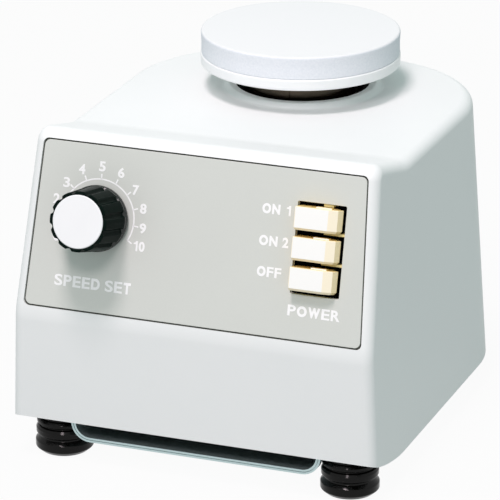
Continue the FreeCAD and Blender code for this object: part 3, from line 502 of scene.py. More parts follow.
def bent_sheet(name, inset, thickness, front, rear):
    """A sheet bent to the tray's section, drawn on its outer face and thickened inwards."""
    rim = TRAY_HALF_WIDTH - inset
    low = TRAY_FLOOR_Z + inset
    bm = rounded_outline([
        (-rim, TRAY_RIM_Z, 0),
        (-rim, low, TRAY_BEND - inset),
        (rim, low, TRAY_BEND - inset),
        (rim, TRAY_RIM_Z, 0),
    ])
    bmesh.ops.delete(bm, geom=bm.faces[:], context="FACES_ONLY")
    open_side = [e for e in bm.edges if all(v.co.y > TRAY_RIM_Z - TINY for v in e.verts)]
    bmesh.ops.delete(bm, geom=open_side, context="EDGES")
    bmesh.ops.transform(bm, matrix=upright, verts=bm.verts[:])
    bmesh.ops.translate(bm, vec=(0, front, 0), verts=bm.verts[:])
    region = bmesh.ops.extrude_edge_only(bm, edges=bm.edges[:])
    bmesh.ops.translate(bm, vec=(0, rear - front, 0), verts=verts_of(region))
    bmesh.ops.recalc_face_normals(bm, faces=bm.faces[:])
    bottom = [f for f in bm.faces if f.calc_center_median().z < low + TINY]
    if bottom[0].normal.z > 0:
        bmesh.ops.reverse_faces(bm, faces=bm.faces[:])
    piece = to_object(bm, name)
    sheet = piece.modifiers.new("sheet", "SOLIDIFY")
    sheet.thickness = thickness
    sheet.offset = -1
    return piece


def centre_of(name):
    """The place on the ground under the middle of a CAD node."""
    low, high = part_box(name)
    return Matrix.Translation(((low.x + high.x) / 2, (low.y + high.y) / 2, 0))


def finish_node(name, material):
    """Gives a CAD node a material on its own slots and leaves its mesh as it is."""
    for slot in frame["nodes"][name].material_slots:
        slot.link = "OBJECT"
        slot.material = material


tray = bent_sheet("bottom_tray", 0, TRAY_SHEET, TRAY_FRONT_Y, TRAY_REAR_Y)
hem = bent_sheet("hem_cutter", HEM_INSET, HEM_LINE, TRAY_FRONT_Y - HEM_DEPTH, TRAY_FRONT_Y + HEM_DEPTH)
notches = [drum(FOOT_CLEARANCE, 0, TRAY_RIM_Z + TRAY_SHEET, centre_of(name)) for name in FEET]
cut(tray, [to_object(notch, "notch_cutter") for notch in notches] + [hem])
dress(tray, zinc, "base", ["bottom_pan"])
for name in ("pan_screws", "foot_screws"):
    finish_node(name, zinc)


# Feet: four moulded black rubber bumpers, each a plain drum with a rounded tread under two ribs
# with sloped shoulders. Each is held by a screw that is sunk in its hole.
FOOT_R = 11.2 * MM
FOOT_NECK_R = 9.6 * MM
FOOT_TREAD_R = 9.2 * MM
FOOT_TREAD_Z = 1.8 * MM
FOOT_DRUM_Z = 4.5 * MM
FOOT_GROOVE_Z = 6.0 * MM
FOOT_SINK_R = 4.5 * MM
FOOT_SINK_Z = 6 * MM
FOOT_HOLE_R = 1.9 * MM
RIB_SLOPE_IN = 0.6 * MM
RIB_SLOPE_UP = 1.0 * MM
RIB_END_UP = 1.4 * MM
RIB_EASE = 0.2 * MM
# Each rib: how far it stays inside the drum, the heights of the groove under it, of its start and of
# its shoulder, and the eases of the groove and of the start.
RIBS = [
    (0.3 * MM, 6.6 * MM, 7.5 * MM, 9.4 * MM, 0.3 * MM, 0.5 * MM),
    (0.6 * MM, 11.1 * MM, 11.7 * MM, 12.7 * MM, 0.2 * MM, 0.3 * MM),
]
RUBBER_BLACK = "#050505"
RUBBER_DUST = "#0C0B0A"
RUBBER_BLOOM = 4 * MM
RUBBER_ROUGHNESS = (0.08, 0.14)
RUBBER_GRAIN = 0.5 * MM
RUBBER_GRAIN_DEPTH = 0.01 * MM

# Moulded rubber gives a deep black, smooth enough that each shoulder carries one small light.
rubber = mottled(
    "moulded_black_rubber", RUBBER_BLACK, RUBBER_DUST, RUBBER_BLOOM, detail=4.0,
    rough=RUBBER_ROUGHNESS, IOR=1.5, Specular_IOR_Level=0.16,
)
add_relief(rubber, RUBBER_GRAIN, detail=2.0, strength=0.1, depth=RUBBER_GRAIN_DEPTH)
rib_profile = []
for inset, groove, start, shoulder, groove_ease, start_ease in RIBS:
    rib_profile += [
        (FOOT_NECK_R, groove, groove_ease),
        (FOOT_R - inset, start, start_ease),
        (FOOT_R - inset, shoulder, RIB_EASE),
        (FOOT_R - inset - RIB_SLOPE_IN, shoulder + RIB_SLOPE_UP, RIB_EASE),
        (FOOT_NECK_R, shoulder + RIB_END_UP, RIB_EASE),
    ]
for name in FEET:
    foot_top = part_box(name)[1].z
    foot = to_object(spun([
        (FOOT_SINK_R, 0, 0.3 * MM),
        (FOOT_TREAD_R, 0, 1.0 * MM),
        (FOOT_R, FOOT_TREAD_Z, 0.9 * MM),
        (FOOT_R, FOOT_DRUM_Z, 0.8 * MM),
        (FOOT_NECK_R, FOOT_GROOVE_Z, 0.4 * MM),
        *rib_profile,
        (FOOT_NECK_R, foot_top, 0),
        (FOOT_HOLE_R, foot_top, 0),
        (FOOT_HOLE_R, FOOT_SINK_Z, 0),
        (FOOT_SINK_R, FOOT_SINK_Z, 0),
    ], centre_of(name), steps=64, segments=4), name.replace("foot", "rubber_foot"))
    dress(foot, rubber, "base", [name])


# Control plate: a thin aluminium sheet with a window for the buttons, lacquered light grey and
# glued in the recess of the panel face. The dark grey film of glue is painted shade: it shows as
# a dark line all round the plate, where the gap is in shade.
PLATE_FACE = -0.2 * MM
PLATE_EDGE = 0.15 * MM
PLATE_INSET = 0.1 * MM
PLATE_FOLD = math.radians(60)
GLUE_TOP = -1.0 * MM
LACQUER_LIGHT = "#D7DAD4"
LACQUER_DARK = "#D0D3CD"
LACQUER_GRAIN = 0.7 * MM
LACQUER_CLOUD = 25 * MM
CLOUD_SHARE = 0.5
LACQUER_ROUGHNESS = (0.4, 0.52)
GLUE_SHADE_DARK = "#464840"
GLUE_SHADE_LIGHT = "#565850"
GLUE_SPREAD = 2 * MM
plate = to_object(block(plate_outline(-PLATE_INSET), GLUE_TOP, PLATE_FACE, PANEL), "lacquered_plate")
cut(plate, panel_holes())
eased = plate.modifiers.new("eased_edge", "BEVEL")
eased.width = PLATE_EDGE
eased.segments = 2
eased.limit_method = "ANGLE"
eased.angle_limit = PLATE_FOLD

# Satin lacquer gives a flat light grey with a fine even grain and no mirror lights. The grain is
# drawn coarser than the real one, so that it shows.
lacquer, tree, shader = start_material("lacquered_aluminium", Metallic=0.0, IOR=1.5)
place = add_node(tree, "ShaderNodeTexCoord").outputs["Object"]
grain = add_node(tree, "ShaderNodeTexNoise", {
    "Vector": place, "Scale": 1 / LACQUER_GRAIN, "Detail": 2.0,
})
cloud = add_node(tree, "ShaderNodeTexNoise", {
    "Vector": place, "Scale": 1 / LACQUER_CLOUD, "Detail": 2.0,
})
mix = add_node(tree, "ShaderNodeMix", {
    0: CLOUD_SHARE, 2: grain.outputs["Fac"], 3: cloud.outputs["Fac"],
})
tone = add_node(tree, "ShaderNodeMix", {
    0: mix.outputs[0], 6: linear(LACQUER_DARK), 7: linear(LACQUER_LIGHT),
}, data_type="RGBA")
gloss = add_node(tree, "ShaderNodeMapRange", {
    "Value": grain.outputs["Fac"], "To Min": LACQUER_ROUGHNESS[0], "To Max": LACQUER_ROUGHNESS[1],
})
tree.links.new(tone.outputs[2], shader.inputs["Base Color"])
tree.links.new(gloss.outputs["Result"], shader.inputs["Roughness"])
dress(plate, lacquer, "base", ["control_panel"])

# The glue's dull dark grey is painted shade, a dark line without lights in the gap round the plate.
gap_shade_glue = mottled(
    "grey_glue_painted_shade", GLUE_SHADE_DARK, GLUE_SHADE_LIGHT, GLUE_SPREAD, detail=2.0,
    IOR=1.5, Roughness=0.7, Specular_IOR_Level=0.1,
)
shade_film_mesh = block(plate_outline(RECESS_GAP - TINY), PLATE_BED + TINY, GLUE_TOP, PANEL)
shade_film = to_object(shade_film_mesh, "glue_film_painted_shade")
cut(shade_film, panel_holes())
dress(shade_film, gap_shade_glue, "base")


# Print: the dial and the plain words on the plate, screen-printed in white ink that stands a few
# hundredths of a millimetre proud of the lacquer. The dial runs from 0 to 10, in even steps.
INK_WHITE = "#FFFFFF"
INK_THIN = "#FAFBFA"
INK_PATCH = 0.6 * MM
INK_HEIGHT = 0.04 * MM
DIAL_S = 38.8 * MM
DIAL_R = 14.35 * MM
DIAL_LINE = 0.55 * MM
DIAL_TICK_R = 16.35 * MM
DIAL_DIGIT_GAP = 0.85 * MM
DIAL_STEP = math.radians(24)
DIAL_LAST = 10
DIAL_SWEEP = DIAL_LAST * DIAL_STEP
DIGIT_HEIGHT = 3.8 * MM
DIGIT_WIDTH = 2.6 * MM
# How far some digits sit off their even places, across and up the panel.
DIGIT_NUDGE = {
    2: (0.3 * MM, -0.2 * MM),
    3: (0.2 * MM, -0.55 * MM),
    6: (-0.3 * MM, 0.4 * MM),
    7: (0, -0.35 * MM),
    9: (-0.3 * MM, -0.3 * MM),
    10: (-0.5 * MM, 0),
}
# Each word with its left and right ends and its lower and upper lines on the panel.
WORDS = [
    ("ON 1", 24.4 * MM, 35.5 * MM, 48.2 * MM, 52.0 * MM),
    ("ON 2", 24.2 * MM, 35.7 * MM, 36.4 * MM, 40.2 * MM),
    ("OFF", 24.4 * MM, 33.9 * MM, 24.9 * MM, 28.7 * MM),
    ("POWER", 37.6 * MM, 58.0 * MM, 11.9 * MM, 15.9 * MM),
    ("SPEED SET", -55.4 * MM, -24.6 * MM, 11.5 * MM, 15.8 * MM),
]
# The stroke is a share of a letter's height, and the rest is in units of the letter size.
STROKE = 0.22
EXTRA_SWELL = {"O": 0.014, "W": 0.018, "N": 0.01, "D": 0.008}
FONT_STEM = 0.098
LETTER_PITCH = {
    "S": 0.667, "P": 0.667, "E": 0.667, "D": 0.722, "R": 0.722, "N": 0.722, "T": 0.611, "F": 0.611,
    "O": 0.778, "W": 0.944, " ": 0.278,
}
DIGIT_PITCH = 0.556
SIDE_BEARING = 0.045
ONE_BEARING = 4 * SIDE_BEARING
ONE_OUTLINE = [
    (0.0, 0.68, 0), (0.0, 0.8, 0), (0.4, 0.86, 0), (0.58, 1.0, 0),
    (1.0, 1.0, 0), (1.0, 0.0, 0), (0.58, 0.0, 0), (0.58, 0.68, 0),
]


def merge(bm, other):
    """Moves everything in another mesh into this one."""
    carrier = bpy.data.meshes.new("carrier")
    other.to_mesh(carrier)
    other.free()
    bm.from_mesh(carrier)
    bpy.data.meshes.remove(carrier)


def add_bar(bm, low, high):
    """Adds a plain bar between two opposite corners and returns its vertices."""
    verts = bmesh.ops.create_cube(bm, size=1)["verts"]
    bmesh.ops.scale(bm, vec=[b - a for a, b in zip(low, high)], verts=verts)
    bmesh.ops.translate(bm, vec=[(a + b) / 2 for a, b in zip(low, high)], verts=verts)
    return verts


def letter_mesh(letter, width, height):
    """A letter of any size, swelled until its stems suit a print of the given width and height."""
    if letter == "1":
        one = raise_face(rounded_outline(ONE_OUTLINE), 1)
        mesh = bpy.data.meshes.new("letter")
        one.to_mesh(mesh)
        one.free()
        return mesh
    curve = bpy.data.curves.new("letter", "FONT")
    curve.body = letter
    curve.bevel_resolution = 0
    curve.extrude = 0.5
    holder = bpy.data.objects.new("letter", curve)
    bpy.context.scene.collection.objects.link(holder)
    bpy.context.view_layer.update()
    plain = holder.dimensions.copy()
    ratio = STROKE * height / width
    swell_across = (ratio * plain.x - FONT_STEM) / (1 - ratio) / 2
    swell_up = (STROKE * plain.y - FONT_STEM) / (1 - STROKE) / 2
    curve.bevel_depth = max((swell_across + swell_up) / 2 + EXTRA_SWELL.get(letter, 0), 0)
    mesh = baked_mesh(holder)
    bpy.data.objects.remove(holder)
    return mesh


def add_letter(bm, letter, left, right, low, high):
    """Adds one printed letter or digit that fills a rectangle of the plate."""
    mesh = letter_mesh(letter, right - left, high - low)
    near = Vector(map(min, zip(*[v.co for v in mesh.vertices])))
    far = Vector(map(max, zip(*[v.co for v in mesh.vertices])))
    fit = Matrix.Diagonal((
        (right - left) / (far.x - near.x), (high - low) / (far.y - near.y),
        INK_HEIGHT / (far.z - near.z), 1,
    ))
    corner = PANEL @ Matrix.Translation((left, low, PLATE_FACE))
    mesh.transform(corner @ fit @ Matrix.Translation(-near))
    bm.from_mesh(mesh)
    bpy.data.meshes.remove(mesh)


def add_word(bm, text, left, right, low, high):
    """Adds a printed word that fills a rectangle, each letter as wide as its pitch allows."""
    pitches = [LETTER_PITCH.get(letter, DIGIT_PITCH) for letter in text]
    unit = (right - left) / (sum(pitches) - 2 * SIDE_BEARING)
    start = left - SIDE_BEARING * unit
    for letter, pitch in zip(text, pitches):
        inset = (ONE_BEARING if letter == "1" else SIDE_BEARING) * unit
        end = start + pitch * unit
        if letter != " ":
            add_letter(bm, letter, start + inset, end - SIDE_BEARING * unit, low, high)
        start = end


ink_print = bmesh.new()
for word in WORDS:
    add_word(ink_print, *word)
dial = PANEL @ Matrix.Translation((KNOB_X, DIAL_S, PLATE_FACE))
half_height = DIGIT_HEIGHT / 2
for number in range(DIAL_LAST + 1):
    angle = number * DIAL_STEP - DIAL_SWEEP / 2
    half = DIGIT_WIDTH / 2 * len(str(number))
    beside = math.copysign(math.sqrt(abs(math.sin(angle))), math.sin(angle))
    above = math.cos(angle) * abs(math.cos(angle))
    nudge_x, nudge_s = DIGIT_NUDGE.get(number, (0, 0))
    x = KNOB_X + DIAL_TICK_R * math.sin(angle) + (DIAL_DIGIT_GAP + half) * beside + nudge_x
    s = DIAL_S + DIAL_TICK_R * math.cos(angle) + (DIAL_DIGIT_GAP + half_height) * above + nudge_s
    add_word(ink_print, str(number), x - half, x + half, s - half_height, s + half_height)
    tick = add_bar(ink_print, (-DIAL_LINE / 2, DIAL_R, 0), (DIAL_LINE / 2, DIAL_TICK_R, INK_HEIGHT))
    bmesh.ops.transform(ink_print, matrix=dial @ Matrix.Rotation(-angle, 4, "Z"), verts=tick)
arc = bmesh.new()
bmesh.ops.create_grid(arc, x_segments=1, y_segments=1, size=0.5)
bmesh.ops.transform(arc, matrix=upright, verts=arc.verts[:])
bmesh.ops.scale(arc, vec=(DIAL_LINE, 1, INK_HEIGHT), verts=arc.verts[:])
bmesh.ops.translate(arc, vec=(DIAL_R, 0, INK_HEIGHT / 2), verts=arc.verts[:])
bmesh.ops.spin(
    arc, geom=arc.faces[:], cent=(0, 0, 0), axis=(0, 0, 1), dvec=(0, 0, 0), angle=DIAL_SWEEP, steps=60,
)
bmesh.ops.recalc_face_normals(arc, faces=arc.faces[:])
to_last = Matrix.Rotation(math.radians(90) - DIAL_SWEEP / 2, 4, "Z")
bmesh.ops.transform(arc, matrix=dial @ to_last, verts=arc.verts[:])
merge(ink_print, arc)
lettering = to_object(ink_print, "panel_print")

# Screen ink gives a flat, matt white that is a trace thinner in places.
ink = mottled(
    "white_screen_ink", INK_THIN, INK_WHITE, INK_PATCH, detail=1.0, IOR=1.5, Roughness=0.55,
)
dress(lettering, ink, "base")


# Speed knob: moulded black phenolic on the shaft of the regulator, tapered, with twelve flutes
# between wide lobes and a plain foot ring. One lobe carries a thin white line as the pointer.
KNOB_HEIGHT = 19.5 * MM
KNOB_FOOT_H = 1 * MM
KNOB_SKIRT_R = 12.5 * MM
KNOB_SKIRT_H = 2.2 * MM
KNOB_SHOULDER_R = 12.3 * MM
KNOB_SHOULDER_H = 2.4 * MM
KNOB_TOP_R = 11.3 * MM
KNOB_LOBES = 12
LOBE_STEP = 2 * math.pi / KNOB_LOBES
FLUTE_HALF = 1.3 * MM
FLUTE_DEPTH = 0.9 * MM
FLUTE_START = 2.6 * MM
FLUTE_FULL = 3.2 * MM
RUN_OUT_RINGS = 6
POLISH_TOP = 3.45 * MM
POINTER_ANGLE = math.radians(-120)
POINTER_WIDTH = 0.9 * MM
POINTER_PROUD = 0.05 * MM
POINTER_SHORT = 0.7 * MM
PHENOLIC_BLACK = "#0B1512"
PHENOLIC_GREY = "#0F1C18"
PHENOLIC_FLOW = 3 * MM
PHENOLIC_ROUGHNESS = (0.18, 0.26)


def knob_radius(h):
    """The radius of the tapered lobes at a height over the panel."""
    rise = (h - KNOB_SHOULDER_H) / (KNOB_HEIGHT - KNOB_SHOULDER_H)
    return KNOB_SHOULDER_R + (KNOB_TOP_R - KNOB_SHOULDER_R) * rise


def smooth_step(value):
    """Runs from 0 to 1 with a soft start and a soft end."""
    value = min(max(value, 0.0), 1.0)
    return value * value * (3 - 2 * value)


run_out = [
    FLUTE_START + (FLUTE_FULL - FLUTE_START) * index / (RUN_OUT_RINGS - 1)
    for index in range(RUN_OUT_RINGS)
]
knob_mesh = spun([
    (0, KNOB_FOOT_H, 0),
    (KNOB_SKIRT_R, KNOB_FOOT_H, 0.3 * MM),
    (KNOB_SKIRT_R, KNOB_SKIRT_H, 0.1 * MM),
    (KNOB_SHOULDER_R, KNOB_SHOULDER_H, 0),
    *[(knob_radius(h), h, 0) for h in run_out + [POLISH_TOP]],
    (KNOB_TOP_R, KNOB_HEIGHT, 0.3 * MM),
    (0, KNOB_HEIGHT, 0),
], Matrix.Identity(4), steps=KNOB_LOBES * 24)
for vert in knob_mesh.verts:
    radius = math.hypot(vert.co.x, vert.co.y)
    if radius < KNOB_TOP_R - FLUTE_DEPTH or vert.co.z < FLUTE_START:
        continue
    angle = math.atan2(vert.co.y, vert.co.x)
    off_middle = (angle % LOBE_STEP) - LOBE_STEP / 2
    across = abs(off_middle) * radius / FLUTE_HALF
    if across < 1:
        fade = smooth_step((vert.co.z - FLUTE_START) / (FLUTE_FULL - FLUTE_START))
        shrink = 1 - FLUTE_DEPTH * fade * math.cos(math.pi / 2 * across) / radius
        vert.co.x *= shrink
        vert.co.y *= shrink
polished_faces = [f.index for f in knob_mesh.faces if f.calc_center_median().z < POLISH_TOP]
bmesh.ops.transform(knob_mesh, matrix=KNOB, verts=knob_mesh.verts[:])
knob = to_object(knob_mesh, "fluted_knob")

# Handling has dulled the lobes to a dead black. The foot ring and the run-outs of the flutes keep
# the polish of the mould, and each run-out carries a small light.
dull, polished = [
    mottled(
        name, PHENOLIC_BLACK, PHENOLIC_GREY, PHENOLIC_FLOW, detail=3.0, rough=PHENOLIC_ROUGHNESS,
        IOR=1.5, Specular_IOR_Level=shine,
    )
    for name, shine in (("dull_black_phenolic", 0.01), ("polished_black_phenolic", 0.5))
]
dress(knob, dull, "knob", ["speed_knob"])
knob.data.materials.append(polished)
for index in polished_faces:
    knob.data.polygons[index].material_index = 1

pointer_mesh = bmesh.new()
bmesh.ops.create_grid(pointer_mesh, x_segments=1, y_segments=6, size=0.5)
for vert in pointer_mesh.verts:
    h = KNOB_SHOULDER_H + (vert.co.y + 0.5) * (KNOB_HEIGHT - POINTER_SHORT - KNOB_SHOULDER_H)
    vert.co = Vector((vert.co.x * POINTER_WIDTH, knob_radius(h) - POINTER_PROUD, h))
pointer_face = KNOB @ Matrix.Rotation(-POINTER_ANGLE, 4, "Z")
bmesh.ops.transform(pointer_mesh, matrix=pointer_face, verts=pointer_mesh.verts[:])
pointer = to_object(pointer_mesh, "knob_pointer")
paint = pointer.modifiers.new("paint", "SOLIDIFY")
paint.thickness = 2 * POINTER_PROUD
paint.offset = 0
dress(pointer, ink, "knob")


# Knob cap: a white ABS disc pressed into the front of the knob, flat, with an eased rim. It is
# moulded in one piece and hides the end of the shaft.
CAP_R = 10.0 * MM
CAP_SEAT = 18.4 * MM
CAP_TOP = KNOB_HEIGHT + 0.35 * MM
CAP_EASE = 0.45 * MM
ABS_WHITE = "#F7F8F8"
ABS_SHADE = "#F3F4F5"
ABS_CLOUD = 8 * MM
ABS_ROUGHNESS = (0.3, 0.4)
cap = to_object(spun([
    (0, CAP_SEAT, 0),
    (CAP_R, CAP_SEAT, 0),
    (CAP_R, CAP_TOP, CAP_EASE),
    (0, CAP_TOP, 0),
], KNOB), "white_cap")

# Moulded ABS gives a clean white with a soft, even gloss.
abs_white = mottled(
    "moulded_white_abs", ABS_SHADE, ABS_WHITE, ABS_CLOUD, detail=2.0, rough=ABS_ROUGHNESS, IOR=1.5,
)
dress(cap, abs_white, "knob", ["knob_cap"])


# Push buttons: three ivory urea caps of an interlocked mains switch, each on a square stem. A cap
# is a flat bar whose right-hand end falls away in facets and is undercut, with a small ridge above
# and a chamfered lower edge. Fingers of the switch's comb stand in the gaps.
BUTTON_LEFT = 38.4 * MM
BUTTON_RIGHT = 56.0 * MM
BUTTON_HEIGHT = 8.7 * MM
BUTTON_PITCH = 11.2 * MM
BUTTON_OUT = 4.3 * MM
BUTTON_EDGE = 0.4 * MM
BUTTON_FOLD = math.radians(50)
BUTTON_CHAMFER = 0.9 * MM
UNDERCUT_IN = 2.5 * MM
UNDERCUT_DROP = 5.2 * MM
LIP_DROP = 4.5 * MM
FACET_IN = 4.5 * MM
FACET_TURN_IN = 1.2 * MM
FACET_TURN_DROP = 1.3 * MM
STEM_SIDE = 5 * MM
STEM_LENGTH = 12 * MM
STEM_FRONT = BUTTON_EDGE - BUTTON_OUT
RIDGE_LEFT = 46.2 * MM
RIDGE_RIGHT = 52.2 * MM
RIDGE_BACK = 0.8 * MM
RIDGE_FRONT = 3.0 * MM
RIDGE_RISE = 0.5 * MM
FINGER_FRONT = -0.8 * MM
FINGER_BACK = -6 * MM
FINGER_HEIGHT = 0.9 * MM
FINGER_GAP = 0.15 * MM
TOP_FINGER_GAP = 0.1 * MM
FINGER_ENDS = (48.7 * MM, 56.8 * MM)
TOP_FINGER_ENDS = (47.9 * MM, 51.6 * MM)
FINGERS = [
    (WINDOW_S + WINDOW_HEIGHT / 2 - TOP_FINGER_GAP, TOP_FINGER_ENDS),
    (WINDOW_S + BUTTON_PITCH - BUTTON_HEIGHT / 2 - FINGER_GAP, FINGER_ENDS),
    (WINDOW_S - BUTTON_HEIGHT / 2 - FINGER_GAP, FINGER_ENDS),
]
IVORY_LIGHT_AND_SHADE_TONES = [(0.0, "#F2D58A"), (0.36, "#FFEDC0"), (0.93, "#FFF5DB"), (1.0, "#FCFCF8")]
IVORY_CLOUD = 5 * MM
IVORY_ROUGHNESS = (0.25, 0.35)
SHADED_IVORY_DARK = "#E2D08C"
SHADED_IVORY_LIGHT = "#EEDFA2"
SHADED_IVORY_CLOUD = 3 * MM

# The colour is painted light and shade by which way a face turns: faces out of the panel are
# painted nearly white as lit, and the sides, ends and undersides a deeper yellow as shade. It has a
# smooth, even gloss.
ivory, tree, shader = start_material("ivory_urea", IOR=1.55)
place = add_node(tree, "ShaderNodeTexCoord").outputs["Object"]
cloud = add_node(tree, "ShaderNodeTexNoise", {
    "Vector": place, "Scale": 1 / IVORY_CLOUD, "Detail": 3.0,
})
facing = add_node(tree, "ShaderNodeVectorMath", {
    0: add_node(tree, "ShaderNodeNewGeometry").outputs["True Normal"], 1: OUT_OF_PANEL,
}, operation="DOT_PRODUCT")
lit_and_shaded_tone = add_node(tree, "ShaderNodeValToRGB", {"Fac": facing.outputs["Value"]})
stops = lit_and_shaded_tone.color_ramp.elements
while len(stops) < len(IVORY_LIGHT_AND_SHADE_TONES):
    stops.new(1.0)
for stop, (position, code) in zip(stops, IVORY_LIGHT_AND_SHADE_TONES):
    stop.position = position
    stop.color = linear(code)
gloss = add_node(tree, "ShaderNodeMapRange", {
    "Value": cloud.outputs["Fac"], "To Min": IVORY_ROUGHNESS[0], "To Max": IVORY_ROUGHNESS[1],
})
tree.links.new(lit_and_shaded_tone.outputs["Color"], shader.inputs["Base Color"])
tree.links.new(gloss.outputs["Result"], shader.inputs["Roughness"])
for name, step in (("on1", 1), ("on2", 0), ("off", -1)):
    button_mesh = raise_face(rounded_outline([
        (BUTTON_LEFT, -BUTTON_OUT, 0),
        (BUTTON_RIGHT - UNDERCUT_IN, -BUTTON_OUT, 0),
        (BUTTON_RIGHT - UNDERCUT_IN, BUTTON_OUT - UNDERCUT_DROP, 0),
        (BUTTON_RIGHT, BUTTON_OUT - LIP_DROP, 0),
        (BUTTON_RIGHT - FACET_TURN_IN, BUTTON_OUT - FACET_TURN_DROP, 0),
        (BUTTON_RIGHT - FACET_IN, BUTTON_OUT, 0),
        (BUTTON_LEFT, BUTTON_OUT, 0),
    ]), BUTTON_HEIGHT)
    lower_lip = [
        e for e in button_mesh.edges
        if all(v.co.z > BUTTON_HEIGHT - TINY and v.co.y > BUTTON_OUT - LIP_DROP - TINY for v in e.verts)
    ]
    round_off(button_mesh, lower_lip, BUTTON_CHAMFER, segments=1)
    crisp_edges = [e for e in button_mesh.edges if e.calc_face_angle() > BUTTON_FOLD]
    round_off(button_mesh, crisp_edges, BUTTON_EDGE, segments=3)
    add_bar(
        button_mesh,
        (WINDOW_X - STEM_SIDE / 2, STEM_FRONT - STEM_LENGTH, (BUTTON_HEIGHT - STEM_SIDE) / 2),
        (WINDOW_X + STEM_SIDE / 2, STEM_FRONT, (BUTTON_HEIGHT + STEM_SIDE) / 2),
    )
    add_bar(
        button_mesh, (RIDGE_LEFT, RIDGE_BACK, -RIDGE_RISE), (RIDGE_RIGHT, RIDGE_FRONT, RIDGE_RISE),
    )
    button_top = WINDOW_S + step * BUTTON_PITCH + BUTTON_HEIGHT / 2
    set_in = PANEL @ Matrix.Translation((0, button_top, 0)) @ upright
    bmesh.ops.transform(button_mesh, matrix=set_in, verts=button_mesh.verts[:])
    button = to_object(button_mesh, "ivory_button_" + name)
    dress(button, ivory, name, ["button_" + name], sharp=20)

comb_mesh = bmesh.new()
for finger_top, (left, right) in FINGERS:
    add_bar(
        comb_mesh, (left, finger_top - FINGER_HEIGHT, FINGER_BACK), (right, finger_top, FINGER_FRONT),
    )
bmesh.ops.transform(comb_mesh, matrix=PANEL, verts=comb_mesh.verts[:])
comb = to_object(comb_mesh, "switch_comb")

# Behind the buttons the same moulding is painted a deeper yellow, as painted shade in the gaps.
shaded_ivory = mottled(
    "ivory_urea_painted_shade", SHADED_IVORY_DARK, SHADED_IVORY_LIGHT, SHADED_IVORY_CLOUD, detail=3.0, IOR=1.55, Roughness=0.4,
)
dress(comb, shaded_ivory, "base", sharp=20)


# Regulator and switch: the black moulded bodies screwed behind the panel, with the other black
# mouldings inside. The floor under them is given the same black as painted shade under the
# casting. The bodies show as the dark between buttons.
MOULDING_BLACK = "#050505"
MOULDING_GREY = "#0B0B0B"
MOULDING_CLOUD = 2 * MM
MOULDING_ROUGHNESS = (0.55, 0.7)

# A matt moulding gives a flat black that takes hardly any light.
black_moulding_and_floor_shade = mottled(
    "matt_black_moulding_and_floor_shade", MOULDING_BLACK, MOULDING_GREY, MOULDING_CLOUD, detail=3.0,
    rough=MOULDING_ROUGHNESS, IOR=1.4, Specular_IOR_Level=0.05,
)
# The floor plate takes this black as painted shade, not as a finish of its own.
for name in ("potentiometer", "switch_body", "touch_switch", "terminal_block", "base_plate"):
    finish_node(name, black_moulding_and_floor_shade)


# Neck: a moulded black sleeve on the head's carrier that fills the hole in the top and swings
# with the head. One mould line runs down its front.
NECK_R = 21.5 * MM
NECK_BORE_R = 17.05 * MM
NECK_EASE = 1.0 * MM
NECK_PAINTED_SHEEN_BROWN = "#1A140E"
NECK_BLACK = "#120D09"
NECK_SHEEN = "#F2DEC4"
NECK_ROUGHNESS = (0.12, 0.2)
SHEEN_STREAK_WIDTH = 5 * MM
SHEEN_STREAK_LENGTH = 60 * MM
SEAM_ANGLE = math.radians(9)
SEAM_WIDTH = 0.5 * MM
SEAM_DEPTH = 0.5 * MM
HEAD = axis_of("head_orbit")
neck_low, neck_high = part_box("neck_sleeve")
neck = to_object(spun([
    (NECK_BORE_R, neck_low.z, 0),
    (NECK_R, neck_low.z, NECK_EASE),
    (NECK_R, neck_high.z, 0),
    (NECK_BORE_R, neck_high.z, 0),
], HEAD, steps=128), "neck_moulding")
seam = block(
    rectangle(0, -NECK_R, SEAM_WIDTH, 2 * SEAM_DEPTH), neck_low.z - WALL, neck_high.z + WALL,
    HEAD @ Matrix.Rotation(SEAM_ANGLE, 4, "Z"),
)
cut(neck, [to_object(seam, "seam_cutter")])

# A smooth moulding gives a black with long upright brown streaks in its colour, which are
# painted reflection, and its own reflections are tinted brown where light grazes it.
sleeve = mottled(
    "smooth_black_moulding", NECK_BLACK, NECK_PAINTED_SHEEN_BROWN, SHEEN_STREAK_WIDTH, detail=3.0, rough=NECK_ROUGHNESS,
    stretch=(1, 1, SHEEN_STREAK_LENGTH / SHEEN_STREAK_WIDTH),
    IOR=1.55, Specular_IOR_Level=0.8, Specular_Tint=linear(NECK_SHEEN),
)
dress(neck, sleeve, "head", ["neck_sleeve"])


# Platform: a white moulded ABS disc screwed on the neck, which carries the pad. Its rim is rounded
# and stands a little outside the pad.
platform_low, platform_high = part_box("head_plate")
PLATFORM_R = platform_high.x - 0.2 * MM
platform = to_object(spun([
    (0, platform_low.z, 0),
    (PLATFORM_R, platform_low.z, 0.9 * MM),
    (PLATFORM_R, platform_high.z, 0.7 * MM),
    (0, platform_high.z, 0),
], HEAD, steps=160), "white_platform")
dress(platform, abs_white, "head", ["head_plate"])


# Pad: a die-cut disc of dense closed-cell foam rubber, glued on the platform. Its side was cut with
# a knife and is drawn in a little at half its height.
pad_low, pad_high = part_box("head_pad")
PAD_R = pad_high.x
PAD_FOOT_IN = 0.2 * MM
PAD_WAIST_IN = 0.25 * MM
PAD_WAIST_RADIUS = 20 * MM
FOAM_LIGHT = "#F2F4F8"
FOAM_DARK = "#E0E4EB"
FOAM_SKIN = "#F0F1F1"
FOAM_CELL = 0.9 * MM
FOAM_SPECK = 0.8 * MM
FOAM_DEPTH = 0.05 * MM
SKIN_AND_SHADE_TURN = (0.3, 0.9)
pad = to_object(spun([
    (0, pad_low.z, 0),
    (PAD_R - PAD_FOOT_IN, pad_low.z, 0.4 * MM),
    (PAD_R - PAD_WAIST_IN, (pad_low.z + pad_high.z) / 2, PAD_WAIST_RADIUS),
    (PAD_R, pad_high.z, 0.9 * MM),
    (0, pad_high.z, 0),
], HEAD, steps=192), "foam_pad")
